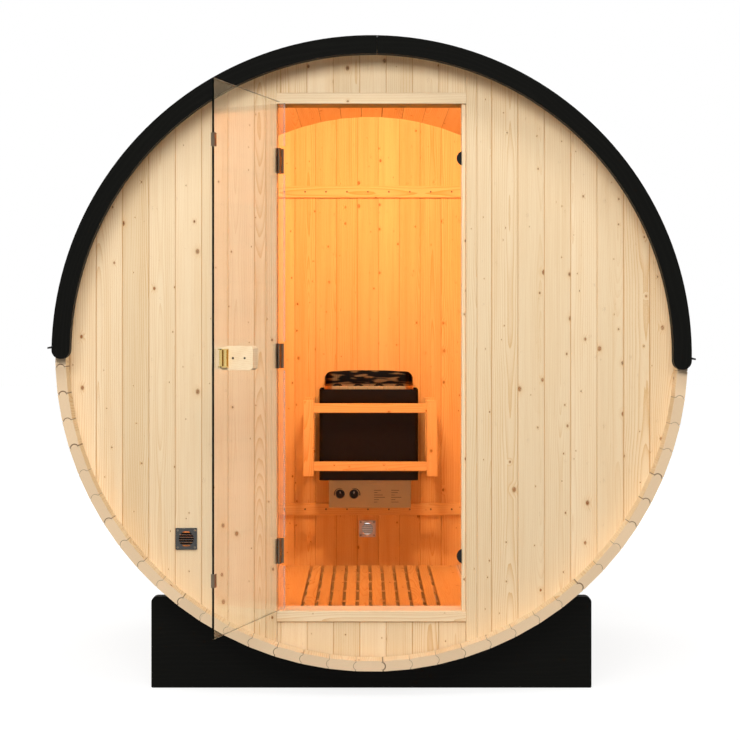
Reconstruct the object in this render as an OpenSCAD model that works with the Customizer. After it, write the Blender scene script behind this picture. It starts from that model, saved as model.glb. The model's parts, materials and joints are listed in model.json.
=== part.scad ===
// Barrel sauna on two cradles, with a half-round roof, a glass door and a wall heater.
// X runs to the right, Y into the cabin from the door, Z up from the ground.
// The origin is on the ground under the middle of the front cradle.

/* [Barrel] */
// Outside diameter over the corners of the staves
barrel_d = 1830; // [1700:10:2200]
// Length of the staves
barrel_l = 1830; // [1500:10:2600]
// Height of the barrel's underside above the ground
ground_gap = 75; // [40:1:120]
// Number of staves round the barrel, a multiple of 12
stave_count = 72; // [60:12:84]
// Thickness of a stave
stave_t = 30; // [26:1:45]
// Open width left in each joint between staves
stave_gap = 0.4; // [0.3:0.1:0.6]
// Radius of the bead along a stave's edge
bead_r = 12; // [8:0.5:12.5]
// Depth of the bead's centre behind the edge it stands on
bead_set = 5; // [3:0.5:6]
// Size of the nick on a stave's outer corners
nick = 2; // [0.5:0.5:4]
// Depth of the groove that holds an end wall
croze_d = 8; // [4:1:12]
// Turn of the stave pattern about the barrel's axis
stave_turn = 0.4; // [0:0.1:1]
// Width of a steel band round the staves
band_w = 40; // [25:1:60]
// Thickness of a steel band
band_t = 1.2; // [0.8:0.1:3]
// Distance from a cradle to the band beside it
band_offset = 40; // [20:1:120]

/* [Cradles] */
// Width of a cradle
cradle_w = 1308; // [1200:2:1500]
// Height of a cradle
cradle_h = 271; // [220:1:340]
// Thickness of a cradle
cradle_t = 42; // [30:1:60]
// Distance from the stave ends to the middle of a cradle
cradle_inset = 172; // [120:2:260]
// Radius of a cradle's upper outer corners
horn_r = 17; // [10:1:40]
// Size of the cut on a cradle's lower corners
cradle_chamfer = 3; // [2:1:20]

/* [End walls] */
// Depth of the end walls behind the stave ends
wall_recess = 70; // [40:1:110]
// Thickness of the end walls
wall_t = 35; // [25:1:50]
// Height of the wall above the door head, on the centre line
over_door_h = 124; // [100:1:180]
// Height of the wall below the sill, on the centre line
under_door_h = 110; // [95:1:180]
// Height of a batten on the back wall
batten_h = 45; // [30:1:70]
// Thickness of a batten
batten_t = 20; // [12:1:30]
// Depth of the upper batten's top below the highest inner face
upper_batten_drop = 263; // [150:1:400]
// Height of the lower batten's underside above the floor
lower_batten_lift = 193; // [180:1:260]

/* [Door frame] */
// Clear width between the door posts
door_w = 554; // [480:2:620]
// Thickness of the posts, the head and the sill
frame_t = 32; // [24:1:45]
// Depth of the door frame
frame_depth = 105; // [80:1:140]
// Thickness of the stop strip on the right post
stop_t = 13; // [9:1:15]
// Width of the stop strip
stop_w = 34; // [20:1:60]
// Distance of the stop strip behind the wall's face
stop_set = 10; // [8:1:30]

/* [Glass door] */
// Thickness of the glass
glass_t = 6; // [5:1:10]
// Gap between the hinge knuckles and the glass
glass_gap = 3; // [2:0.5:6]
// Overlap of the closed glass on the right post
side_lap = 8; // [4:1:14]
// Overlap of the closed glass on the head
top_lap = 4; // [2:0.5:10]
// Gap between the sill and the glass's lower edge
foot_gap = 4.5; // [3:0.5:10]
// Distance of the hinge axis in front of the wall
hinge_out = 10; // [10:0.5:16]
// Distance of the hinge axis from the post's inner face
hinge_side = 9; // [8:0.5:12]
// Angle at which the door stands open
open_angle = 106; // [60:1:120]
// Height of a hinge
hinge_h = 72; // [50:1:100]
// Radius of a hinge knuckle
knuckle_r = 5; // [4:0.5:7]
// Radius of a hinge pin
pin_r = 2.2; // [1.5:0.1:3]
// Length of a hinge clamp along the glass
clamp_l = 14; // [10:1:40]
// Thickness of a hinge clamp's plates
clamp_t = 3; // [2:0.5:4]
// Distance of the outer hinges from the glass ends
hinge_inset = 172; // [120:1:260]
// Width of a hinge bracket, out from the post
bracket_w = 20; // [14:1:20]
// Thickness of a hinge bracket
bracket_t = 8; // [5:0.5:10]
// Distance of the latch clips from the head and the sill
clip_inset = 159; // [126:1:216]
// Height of a latch clip
clip_h = 36; // [20:1:45]
// Reach of a latch clip over the glass
clip_l = 13; // [8:1:20]
// Thickness of a latch clip's plates
clip_t = 2; // [1:0.5:2]
// Radius of the round catches on the stop strip
catch_r = 21.5; // [16:0.5:30]
// Reach of the catches from the stop strip's side
catch_reach = 14; // [8:0.5:15]
// Thickness of the catches
catch_t = 14; // [11:1:30]
// Distance of the catches' faces in front of the stop strip
catch_out = 8; // [2:0.5:8]

/* [Handle] */
// Height of the handle block
handle_h = 64; // [40:1:90]
// Length of the handle block along the glass
handle_l = 40; // [25:1:80]
// Depth of the handle block from the glass
handle_d = 92; // [60:1:100]
// Size of the cut along the handle block's edges
handle_chamfer = 6; // [2:1:10]
// Height of the handle's middle above the doorway's middle
handle_rise = 5; // [-100:1:100]
// Distance from the glass's free edge to the handle block
handle_inset = 46; // [44:1:90]
// Height of the brass roller catch
roller_catch_h = 50; // [30:1:60]
// Radius of a brass roller
roller_r = 4.6; // [3:0.1:5.5]
// Reach of the roller catch past the handle block
roller_catch_l = 17; // [14:1:19]
// Depth of the roller catch from the glass
roller_catch_d = 24; // [20:1:40]
// Thickness of the roller catch's plates
roller_plate_t = 3; // [2:0.5:5]

/* [Roof] */
// Thickness of the roof cover
cover_t = 3; // [2:0.5:6]
// Turn of the roof and its arcs about the barrel's axis
roof_turn = 1; // [0:0.5:3]
// Height of the roof's lower edges above the turned centre line
roof_edge_rise = 11; // [5:1:40]
// Reach of the drip strips past the roof cover
drip_w = 18; // [8:1:40]
// Thickness of the drip strips
drip_t = 5; // [2:0.5:8]
// Fall of the drip strips towards their outer edges
drip_fall = 4; // [0:0.5:10]
// Radial width of the trim arcs
arc_w = 52; // [45:1:80]
// Thickness of the trim arcs
arc_t = 38; // [20:1:50]

/* [Floor] */
// Height of the floor's top above the lowest inner face
floor_rise = 62; // [50:1:110]
// Thickness of the floor boards
slat_t = 20; // [14:1:30]
// Number of narrow floor slats
slat_count = 10; // [8:1:11]
// Width of a narrow floor slat
slat_w = 34; // [25:1:40]
// Gap between floor slats
slat_gap = 10.4; // [6:0.2:14]
// Number of joists under the floor
joist_count = 7; // [4:1:9]
// Thickness of a joist
joist_t = 40; // [25:1:60]

/* [Vents] */
// Side of a vent's square plate
vent_side = 63; // [50:1:90]
// Thickness of a vent's plate
vent_t = 5; // [3:0.5:8]
// Radius of a vent's round opening
vent_r = 22; // [15:0.5:23]
// Wall of a vent's sleeve
vent_wall = 2.5; // [1.5:0.5:4]
// Number of slats in a vent
vent_slats = 5; // [3:1:6]
// Thickness of a vent's slats
vent_slat_t = 2; // [1:0.5:2.5]
// Slope of a vent's slats
vent_slope = 40; // [20:5:60]
// Distance of the front vent's middle from the left door post
front_vent_side = 233; // [60:1:250]
// Height of the front vent's middle above the floor
front_vent_lift = 284; // [260:1:420]
// Distance of the back vent's middle to the left of the axis
back_vent_x = 10; // [-200:1:200]
// Height of the back vent's middle above the floor
back_vent_lift = 140; // [120:1:150]

/* [Heater] */
// Width of the heater's case
heater_w = 365; // [300:1:420]
// Depth of the heater's case from the wall
heater_d = 230; // [160:1:260]
// Height of the heater's case
heater_h = 335; // [280:1:400]
// Thickness of the heater's sheet metal
sheet_t = 2; // [1.5:0.5:4]
// Radius of the case's front corners
heater_r = 14; // [6:1:30]
// Height of the control box below the case
control_h = 102; // [80:1:120]
// Width of the control box
control_w = 302; // [250:1:340]
// Distance of the control box's middle to the right of the case's middle
control_shift = 4; // [-10:1:10]
// Distance of the control box's face behind the case's face
control_back = 8; // [2:1:30]
// Gap between the lower batten and the control box
control_gap = 2; // [1:0.5:40]
// Distance of the heater's middle to the left of the axis
heater_x = 5; // [-40:1:40]
// Gap between the case and the steel liner that stands in it
liner_gap = 15.5; // [8:0.5:25]
// Height of the liner's front lip above the case
lip_h = 12; // [4:1:25]
// Height of the liner's back, the shield, above the case
shield_h = 66; // [30:1:120]
// Rise of the shield's top edge in its middle
shield_crown = 4.5; // [2:0.5:10]
// Radius of the shield's upper corners
shield_r = 24; // [8:1:40]
// Radius of the liner's upright corners
liner_r = 30; // [8:1:60]
// Depth of the shield's side wings
shield_d = 70; // [40:1:90]
// Depth over which the wings fall to the front lip
wing_fall = 50; // [20:1:80]
// Radius of the heating element's rod
element_r = 4.5; // [3:0.5:6]
// Number of heating elements
element_count = 4; // [2:1:4]
// Spacing of the two legs of an element
element_span = 38; // [30:1:60]
// Distance of the outer elements from the liner's sides
element_side = 46; // [38:1:54]
// Reach of the elements above the case's rim
element_top = 14; // [5:1:30]
// Radius of a control knob
knob_r = 16.5; // [10:0.5:20]
// Height of a control knob
knob_h = 17; // [10:0.5:25]
// Width of the pointer ridge on a knob
ridge_w = 3; // [2:0.5:5]
// Height of the pointer ridge
ridge_h = 1.2; // [0.5:0.1:3]
// Distance between the knobs
knob_pitch = 51; // [44:1:70]
// Distance of the first knob from the control box's left side
knob_inset = 41.5; // [30:0.5:80]

/* [Heater guard] */
// Thickness of the guard's posts
guard_post = 38; // [28:1:45]
// Height of the guard's posts
guard_h = 278; // [220:1:340]
// Height of the guard's underside above the case's underside
guard_rise = 20; // [5:1:60]
// Clear width between the guard's posts
guard_w = 412; // [400:1:460]
// Distance from the heater's face to the guard's posts
guard_gap = 45; // [25:1:90]
// Height of a guard rail
rail_h = 34; // [26:1:50]
// Thickness of a guard rail
rail_t = 18; // [12:1:28]
// Distance of the upper rails from the tops of the posts
rail_inset = 12; // [5:1:40]
// Distance of the lower rails from the feet of the posts
lower_rail_lift = 20; // [5:1:40]

/* [Hidden] */
$fn = 96;
// Facets of the preview on circles about the barrel's axis
ring_facets = 720;

// Clearance between round faces that lie against each other
fit = 0.3;
// Clearance of an end wall's rim in its groove
rim_fit = 0.6;
// Clearance of a hinge pin in its knuckle
pin_fit = 0.08;
// Gap between hinge knuckles
knuckle_gap = 0.4;
// Gap left at the seam of two trim arcs
seam_gap = 0.5;
// Overrun of every cut
over = 5;
// Share of a knob's radius left at the top of its grip
knob_grip_share = 0.8;

// Barrel
barrel_r = barrel_d / 2;
barrel_z = barrel_r + ground_gap;
half_angle = 180 / stave_count;
outer_flat = barrel_r * cos(half_angle);
inner_flat = outer_flat - stave_t;
joint_r = (outer_flat - stave_t / 2) / cos(half_angle);
front_y = -cradle_inset;
rear_y = front_y + barrel_l;
end_group = floor(stave_count / 12);
half_count = stave_count / 2;

// End walls
wall_r = inner_flat + croze_d - rim_fit;
wall_front = front_y + wall_recess;
wall_back = wall_front + wall_t;
back_out = rear_y - wall_recess;
back_in = back_out - wall_t;
inside_r = inner_flat - fit;
floor_z = barrel_z - inner_flat + floor_rise;
sill_z = barrel_z - wall_r + under_door_h;
head_z = barrel_z + wall_r - over_door_h;
door_bottom = sill_z + frame_t;
door_top = head_z - frame_t;
door_mid = (door_bottom + door_top) / 2;
post_in = door_w / 2;
post_out = post_in + frame_t;
frame_back = wall_front + frame_depth;
stop_front = wall_front + stop_set;
stop_side = post_in - stop_t;
catch_front = stop_front - catch_out;
lower_batten_z = floor_z + lower_batten_lift;
upper_batten_z = barrel_z + inner_flat - upper_batten_drop - batten_h;

// Glass door, drawn closed and turned open about the hinge axis
axis_x = hinge_side - post_in;
axis_y = wall_front - hinge_out;
glass_l = axis_x + knuckle_r + glass_gap;
glass_r = post_in + side_lap;
glass_bottom = door_bottom + foot_gap;
glass_top = door_top + top_lap;
glass_front = axis_y - glass_t / 2;
glass_back = axis_y + glass_t / 2;
glass_mid = (glass_bottom + glass_top) / 2;
hinge_zs = [glass_bottom + hinge_inset, glass_mid, glass_top - hinge_inset];
clip_zs = [door_bottom + clip_inset, door_top - clip_inset];
knuckle_h = hinge_h / 3;
handle_z = door_mid + handle_rise;
handle_right = glass_r - handle_inset;
bracket_front = wall_front + pin_r;

// Roof, out over the bands
band_in = barrel_r + fit;
band_out = band_in + band_t;
cover_in = band_out + fit;
cover_out = cover_in + cover_t;
arc_in = cover_out - arc_w;
arc_mid = cover_out - arc_w / 2;
far = barrel_d;

// Floor
slat_pitch = slat_w + slat_gap;
slats_half = slat_count * slat_pitch / 2;
side_board_in = slats_half + slat_gap / 2;
joist_first = wall_back + joist_t;
joist_last = back_in - joist_t * 2;

// Vents
front_vent_x = -post_out - front_vent_side;
front_vent_z = floor_z + front_vent_lift;
back_vent_z = floor_z + back_vent_lift;

// Heater
control_z = lower_batten_z + batten_h + control_gap;
case_z = control_z + control_h;
case_top = case_z + heater_h;
case_front = back_in - heater_d;
control_front = case_front + control_back;
knob_z = control_z + control_h / 2;
control_mid = control_shift - heater_x;
knob_x = control_mid - control_w / 2 + knob_inset;
element_y = back_in - heater_d / 3;
shield_top = case_top + shield_h;
shield_w = heater_w - (sheet_t + liner_gap) * 2;
crown_half = shield_w / 2 - shield_r;
crown_r = (crown_half * crown_half / shield_crown + shield_crown) / 2;
element_pitch = (shield_w - (sheet_t + element_side) * 2) / (element_count - 1);
liner_z = case_z + sheet_t;
liner_front = case_front + sheet_t + liner_gap;
liner_back = back_in - sheet_t;
wing_front = liner_back - shield_d;

// Heater guard
guard_z = case_z + guard_rise;
guard_y = case_front - guard_gap - guard_post;
guard_in = guard_w / 2;
rail_zs = [guard_z + lower_rail_lift, guard_z + guard_h - rail_inset - rail_h];

// An outline in X and Z, drawn out along Y
module along(y0, y1) {
  translate([0, y1, 0])
    rotate([90, 0, 0])
      linear_extrude(height = y1 - y0)
        children();
}

// A disc about the barrel's axis
module disc(r) {
  translate([0, barrel_z])
    circle(r = r, $fn = ring_facets);
}

// A plain box from one corner to the other
module box(low, high) {
  translate(low)
    cube(high - low);
}

// A block along Z with its four upright edges cut
module bevelled(low, high, cut) {
  translate([0, 0, low.z])
    linear_extrude(height = high.z - low.z)
      polygon([
        [low.x + cut, low.y], [high.x - cut, low.y],
        [high.x, low.y + cut], [high.x, high.y - cut],
        [high.x - cut, high.y], [low.x + cut, high.y],
        [low.x, high.y - cut], [low.x, low.y + cut]
      ]);
}

// The edge circle of a bead, on the stave's own side or on its neighbour's
module bead_circle(r, set) {
  rotate(-half_angle)
    translate([set, joint_r])
      circle(r = r);
}

// A stave's section, with a bead or a cove on each edge
module stave_section(bead_minus, bead_plus) {
  inner_w = inner_flat * tan(half_angle) - stave_gap / 2;
  outer_w = outer_flat * tan(half_angle) - stave_gap / 2;
  nick_w = (outer_flat - nick) * tan(half_angle) - stave_gap / 2;
  difference() {
    union() {
      polygon([
        [-inner_w, inner_flat], [inner_w, inner_flat],
        [nick_w, outer_flat - nick], [outer_w - nick, outer_flat],
        [nick - outer_w, outer_flat], [-nick_w, outer_flat - nick]
      ]);
      if (bead_plus) bead_circle(bead_r, -bead_set);
      if (bead_minus) mirror([1, 0]) bead_circle(bead_r, -bead_set);
    }
    if (!bead_plus) bead_circle(bead_r + stave_gap, bead_set);
    if (!bead_minus) mirror([1, 0]) bead_circle(bead_r + stave_gap, bead_set);
  }
}

// The groove for an end wall, across one stave
module croze(turn, y0, y1) {
  half_w = barrel_r * tan(half_angle) + bead_r;
  along(y0, y1)
    translate([0, barrel_z])
      rotate(turn)
        translate([-half_w, inner_flat - over])
          square([half_w * 2, over + croze_d]);
}

// One stave, counted from the bottom and up the right-hand side
module stave(k) {
  turn = 180 + k * 2 * half_angle - stave_turn;
  difference() {
    along(front_y, rear_y)
      translate([0, barrel_z])
        rotate(turn)
          stave_section(k < half_count, k == 0 || k > half_count);
    croze(turn, wall_front, wall_back);
    croze(turn, back_in, back_out);
  }
}

// The staves from one number to another
module staves(first, last) {
  for (k = [first:last])
    stave((k + stave_count) % stave_count);
}

module bottom_staves() {
  color("burlywood") staves(-end_group, end_group);
}

module right_staves() {
  color("tan") staves(end_group + 1, half_count - end_group - 1);
}

module top_staves() {
  color("burlywood") staves(half_count - end_group, half_count + end_group);
}

module left_staves() {
  color("tan") staves(half_count + end_group + 1, stave_count - end_group - 1);
}

// A ring about the barrel's axis
module ring(r_in, r_out) {
  difference() {
    disc(r_out);
    disc(r_in);
  }
}

module barrel_bands() {
  color("silver")
    for (y = [cradle_t / 2 + band_offset, rear_y - cradle_inset - cradle_t / 2 - band_offset - band_w])
      along(y, y + band_w)
        ring(band_in, band_out);
}

// A cradle's outline: a plank with a hollow for the barrel and rounded horns
module cradle_outline() {
  half_w = cradle_w / 2;
  difference() {
    union() {
      polygon([
        [cradle_chamfer - half_w, 0], [half_w - cradle_chamfer, 0],
        [half_w, cradle_chamfer], [half_w, cradle_h - horn_r],
        [half_w - horn_r, cradle_h - horn_r], [half_w - horn_r, cradle_h],
        [horn_r - half_w, cradle_h], [horn_r - half_w, cradle_h - horn_r],
        [-half_w, cradle_h - horn_r], [-half_w, cradle_chamfer]
      ]);
      for (side = [-1, 1])
        translate([side * (half_w - horn_r), cradle_h - horn_r])
          circle(r = horn_r);
    }
    disc(band_in);
  }
}

module cradle(y) {
  color("#1c1b1a")
    along(y - cradle_t / 2, y + cradle_t / 2)
      cradle_outline();
}

module front_cradle() {
  cradle(0);
}

module rear_cradle() {
  cradle(rear_y - cradle_inset);
}

// The part of the end wall's disc between two X and two Z values
module wall_piece(x0, x1, z0, z1) {
  intersection() {
    disc(wall_r);
    translate([x0, z0])
      square([x1 - x0, z1 - z0]);
  }
}

module front_wall_left() {
  color("wheat")
    along(wall_front, wall_back)
      difference() {
        wall_piece(-far, -post_out, 0, far + barrel_z);
        translate([front_vent_x, front_vent_z])
          circle(r = vent_r + vent_wall + fit);
      }
}

module front_wall_right() {
  color("wheat")
    along(wall_front, wall_back)
      wall_piece(post_out, far, 0, far + barrel_z);
}

module front_wall_top() {
  color("wheat")
    along(wall_front, wall_back)
      wall_piece(-post_in, post_in, head_z, far + barrel_z);
}

module front_wall_bottom() {
  color("wheat")
    along(wall_front, wall_back)
      wall_piece(-post_in, post_in, 0, sill_z);
}

module back_wall() {
  color("wheat")
    along(back_in, back_out)
      difference() {
        disc(wall_r);
        translate([-back_vent_x, back_vent_z])
          circle(r = vent_r + vent_wall + fit);
      }
}

module back_wall_battens() {
  color("burlywood")
    for (z = [upper_batten_z, lower_batten_z])
      along(back_in - batten_t, back_in)
        intersection() {
          disc(inside_r);
          translate([-far, z])
            square([far * 2, batten_h]);
        }
}

// A door post: flush with the wall, its inner part standing on the floor
module door_post(x0) {
  color("navajowhite")
    union() {
      along(wall_front, wall_back)
        wall_piece(x0, x0 + frame_t, 0, far + barrel_z);
      along(wall_back, frame_back)
        intersection() {
          disc(inside_r);
          translate([x0, floor_z])
            square([frame_t, far]);
        }
    }
}

module door_post_left() {
  door_post(-post_out);
}

module door_post_right() {
  door_post(post_in);
}

module door_head() {
  color("navajowhite")
    box([-post_in, wall_front, door_top], [post_in, frame_back, head_z]);
}

module door_sill() {
  color("navajowhite")
    box([-post_in, wall_front, sill_z], [post_in, frame_back, door_bottom]);
}

module door_stop() {
  color("burlywood")
    box([stop_side, stop_front, door_bottom], [post_in, stop_front + stop_w, door_top]);
}

// A hinge's fixed half: a bracket on the post, two knuckles and the pin
module hinge_bracket(z) {
  difference() {
    union() {
      box(
        [-post_in, bracket_front, z - hinge_h / 2],
        [bracket_w - post_in, bracket_front + bracket_t, z + hinge_h / 2]
      );
      box(
        [-post_in, axis_y, z - hinge_h / 2],
        [axis_x, bracket_front + bracket_t, z + hinge_h / 2]
      );
      translate([axis_x, axis_y, z - hinge_h / 2])
        cylinder(r = knuckle_r, h = hinge_h);
    }
    translate([axis_x, axis_y, z - knuckle_h / 2 - knuckle_gap])
      cylinder(r = hinge_side, h = knuckle_h + knuckle_gap * 2);
    box(
      [-post_in - over, axis_y - hinge_out, z - knuckle_h / 2 - knuckle_gap],
      [axis_x, bracket_front, z + knuckle_h / 2 + knuckle_gap]
    );
  }
  translate([axis_x, axis_y, z - hinge_h / 2])
    cylinder(r = pin_r, h = hinge_h);
}

module hinge_brackets() {
  color("dimgray")
    for (z = hinge_zs)
      hinge_bracket(z);
}

module door_catches() {
  color("black")
    for (z = clip_zs)
      along(catch_front, catch_front + catch_t)
        intersection() {
          translate([stop_side - catch_reach + catch_r, z])
            circle(r = catch_r);
          translate([stop_side - catch_reach, z - catch_r])
            square([catch_reach, catch_r * 2]);
        }
}

// Turns what is drawn closed to the angle at which the door stands
module opened() {
  translate([axis_x, axis_y, 0])
    rotate([0, 0, -open_angle])
      translate([-axis_x, -axis_y, 0])
        children();
}

module door_glass() {
  color("lightblue", 0.4)
    opened()
      box([glass_l, glass_front, glass_bottom], [glass_r, glass_back, glass_top]);
}

// A hinge's moving half: a knuckle with two plates that clamp the glass
module hinge_clamp(z) {
  difference() {
    union() {
      translate([axis_x, axis_y, z - knuckle_h / 2])
        cylinder(r = knuckle_r, h = knuckle_h);
      box(
        [axis_x, glass_front - clamp_t, z - knuckle_h / 2],
        [glass_l, glass_back + clamp_t, z + knuckle_h / 2]
      );
      for (y = [glass_front - clamp_t, glass_back])
        box([glass_l, y, z - hinge_h / 2], [glass_l + clamp_l, y + clamp_t, z + hinge_h / 2]);
    }
    translate([axis_x, axis_y, z - hinge_h])
      cylinder(r = pin_r + pin_fit, h = hinge_h * 2);
  }
}

module hinge_clamps() {
  color("dimgray")
    opened()
      for (z = hinge_zs)
        hinge_clamp(z);
}

module glass_clips() {
  color("dimgray")
    opened()
      for (z = clip_zs)
        difference() {
          box(
            [glass_r - clip_l, glass_front - clip_t, z - clip_h / 2],
            [glass_r + clip_t, glass_back + clip_t, z + clip_h / 2]
          );
          box(
            [glass_r - clip_l - over, glass_front, z - clip_h / 2 - over],
            [glass_r, glass_back, z + clip_h / 2 + over]
          );
        }
}

module handle_block() {
  color("burlywood")
    opened()
      translate([handle_right, 0, handle_z])
        rotate([0, -90, 0])
          bevelled(
            [-handle_h / 2, glass_back, 0],
            [handle_h / 2, glass_back + handle_d, handle_l],
            handle_chamfer
          );
}

module roller_catch() {
  roller_x = handle_right + roller_catch_l - roller_r - roller_plate_t / 2;
  low_z = handle_z - roller_catch_h / 2;
  color("gold")
    opened() {
      for (z = [low_z, low_z + roller_catch_h - roller_plate_t])
        box(
          [handle_right, glass_back, z],
          [handle_right + roller_catch_l, glass_back + roller_catch_d, z + roller_plate_t]
        );
      box(
        [handle_right, glass_back, low_z],
        [handle_right + roller_plate_t, glass_back + roller_catch_d, low_z + roller_catch_h]
      );
      for (y = [roller_r + roller_plate_t / 2, roller_catch_d - roller_r - roller_plate_t / 2])
        translate([roller_x, glass_back + y, low_z])
          cylinder(r = roller_r, h = roller_catch_h);
    }
}

// Turns an outline with the roof
module with_roof() {
  translate([0, barrel_z])
    rotate(-roof_turn)
      translate([0, -barrel_z])
        children();
}

module roof_cover() {
  color("#26272a")
    along(front_y, rear_y)
      with_roof()
        intersection() {
          ring(cover_in, cover_out);
          translate([-far, barrel_z + roof_edge_rise])
            square([far * 2, far]);
        }
}

module roof_drips() {
  drip_z = barrel_z + roof_edge_rise;
  drip_out = cover_out + drip_w;
  color("black")
    along(front_y, rear_y)
      with_roof()
        for (side = [0, 1])
          mirror([side, 0])
            polygon([
              [cover_in, drip_z], [cover_out, drip_z],
              [drip_out, drip_z - drip_fall], [drip_out, drip_z - drip_fall - drip_t],
              [cover_in, drip_z - drip_t]
            ]);
}

// A quarter arc with a half-round lower end, on the right-hand side
module arc_outline() {
  union() {
    intersection() {
      ring(arc_in, cover_out);
      translate([seam_gap / 2, barrel_z])
        square([far, far]);
    }
    translate([arc_mid, barrel_z])
      circle(r = arc_w / 2);
  }
}

module trim_arc(y0, side) {
  color("black")
    along(y0, y0 + arc_t)
      with_roof()
        mirror([side, 0])
          arc_outline();
}

module front_arc_left() {
  trim_arc(front_y - arc_t, 1);
}

module front_arc_right() {
  trim_arc(front_y - arc_t, 0);
}

module rear_arc_left() {
  trim_arc(rear_y, 1);
}

module rear_arc_right() {
  trim_arc(rear_y, 0);
}

module floor_joists() {
  step = (joist_last - joist_first) / (joist_count - 1);
  color("peru")
    for (k = [0:joist_count - 1])
      along(joist_first + k * step, joist_first + k * step + joist_t)
        intersection() {
          disc(inside_r);
          translate([-far, 0])
            square([far * 2, floor_z - slat_t]);
        }
}

module floor_slats() {
  color("burlywood")
    along(wall_back, back_in) {
      for (k = [0:slat_count - 1])
        translate([k * slat_pitch - slats_half + slat_gap / 2, floor_z - slat_t])
          square([slat_w, slat_t]);
      for (side = [0, 1])
        mirror([side, 0])
          intersection() {
            disc(inside_r);
            translate([side_board_in, floor_z - slat_t])
              square([far, slat_t]);
          }
    }
}

// A square vent plate with a round sleeve and sloping slats, facing -Y
module vent(sleeve) {
  slat_step = vent_r * 2 / (vent_slats + 1);
  slat_w2 = vent_t / sin(vent_slope);
  difference() {
    union() {
      translate([-vent_side / 2, -vent_t, -vent_side / 2])
        cube([vent_side, vent_t, vent_side]);
      rotate([-90, 0, 0])
        cylinder(r = vent_r + vent_wall, h = sleeve);
    }
    translate([0, -vent_t - over, 0])
      rotate([-90, 0, 0])
        cylinder(r = vent_r, h = sleeve + vent_t + over * 2);
  }
  intersection() {
    translate([0, -vent_t, 0])
      rotate([-90, 0, 0])
        cylinder(r = vent_r + vent_wall / 2, h = vent_t);
    for (k = [1:vent_slats])
      translate([0, -vent_t / 2, k * slat_step - vent_r])
        rotate([vent_slope, 0, 0])
          cube([vent_r * 2 + vent_wall * 2, slat_w2, vent_slat_t], center = true);
  }
}

module front_vent() {
  color("dimgray")
    translate([front_vent_x, wall_front, front_vent_z])
      vent(wall_t);
}

module back_vent() {
  color("peru")
    translate([-back_vent_x, back_in, back_vent_z])
      vent(wall_t);
}

// A box outline in X and Y with round front corners, against the wall
module case_outline(w, d, r) {
  half_w = w / 2;
  union() {
    translate([-half_w, back_in - d + r])
      square([w, d - r]);
    translate([r - half_w, back_in - d])
      square([w - r * 2, r]);
    for (side = [-1, 1])
      translate([side * (half_w - r), back_in - d + r])
        circle(r = r);
  }
}

module heater_case() {
  color("#2b1d10")
    translate([-heater_x, 0, 0])
      difference() {
        translate([0, 0, case_z])
          linear_extrude(height = heater_h)
            case_outline(heater_w, heater_d, heater_r);
        translate([0, -sheet_t, case_z + sheet_t])
          linear_extrude(height = heater_h)
            case_outline(heater_w - sheet_t * 2, heater_d - sheet_t * 2, heater_r - sheet_t);
      }
}

// An upright sheet ring in X and Y with round corners
module liner_ring() {
  half_w = shield_w / 2;
  difference() {
    rounded([-half_w, liner_front], [half_w, liner_back], liner_r);
    rounded(
      [sheet_t - half_w, liner_front + sheet_t],
      [half_w - sheet_t, liner_back - sheet_t],
      liner_r - sheet_t
    );
  }
}

// A rectangle with round corners
module rounded(low, high, r) {
  size = high - low;
  union() {
    translate([low.x + r, low.y])
      square([size.x - r * 2, size.y]);
    translate([low.x, low.y + r])
      square([size.x, size.y - r * 2]);
    for (x = [low.x + r, high.x - r])
      for (y = [low.y + r, high.y - r])
        translate([x, y])
          circle(r = r);
  }
}

// The shield's outline in X and Z: round corners and a slightly arched top edge
module shield_outline() {
  half_w = shield_w / 2;
  edge_z = shield_top - shield_crown;
  union() {
    rounded([-half_w, liner_z - shield_r], [half_w, edge_z], shield_r);
    intersection() {
      translate([0, shield_top - crown_r])
        circle(r = crown_r, $fn = ring_facets);
      translate([-crown_half, edge_z - shield_r])
        square([crown_half * 2, shield_r * 2]);
    }
  }
}

// The liner: an upright ring, low at the front and rising to the shield at the back
module heater_shield() {
  half_w = shield_w / 2;
  color("#3a2f26")
    translate([-heater_x, 0, 0])
      intersection() {
        translate([0, 0, liner_z])
          linear_extrude(height = shield_top - liner_z)
            liner_ring();
        along(case_front, back_in)
          shield_outline();
        translate([-half_w, 0, 0])
          rotate([90, 0, 90])
            linear_extrude(height = shield_w)
              polygon([
                [case_front, liner_z], [back_in, liner_z], [back_in, shield_top],
                [wing_front, shield_top], [wing_front - wing_fall, case_top + lip_h],
                [case_front, case_top + lip_h]
              ]);
      }
}

// One heating element: a hairpin of round rod standing on the case's bottom
module element(x) {
  leg_h = case_top + element_top - element_span / 2 - case_z - sheet_t;
  translate([x, element_y, case_z + sheet_t]) {
    for (side = [-1, 1])
      translate([side * element_span / 2, 0, 0])
        cylinder(r = element_r, h = leg_h);
    translate([0, 0, leg_h])
      rotate([90, 0, 0])
        rotate_extrude(angle = 180)
          translate([element_span / 2, 0])
            circle(r = element_r);
  }
}

module heater_elements() {
  color("gray")
    for (k = [0:element_count - 1])
      element((k - (element_count - 1) / 2) * element_pitch - heater_x);
}

module heater_control() {
  half_w = control_w / 2;
  color("silver")
    translate([control_mid, 0, 0])
      difference() {
        box([-half_w, control_front, control_z], [half_w, back_in, case_z]);
        box(
          [sheet_t - half_w, control_front + sheet_t, control_z + sheet_t],
          [half_w - sheet_t, back_in + over, case_z - sheet_t]
        );
      }
}

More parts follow.
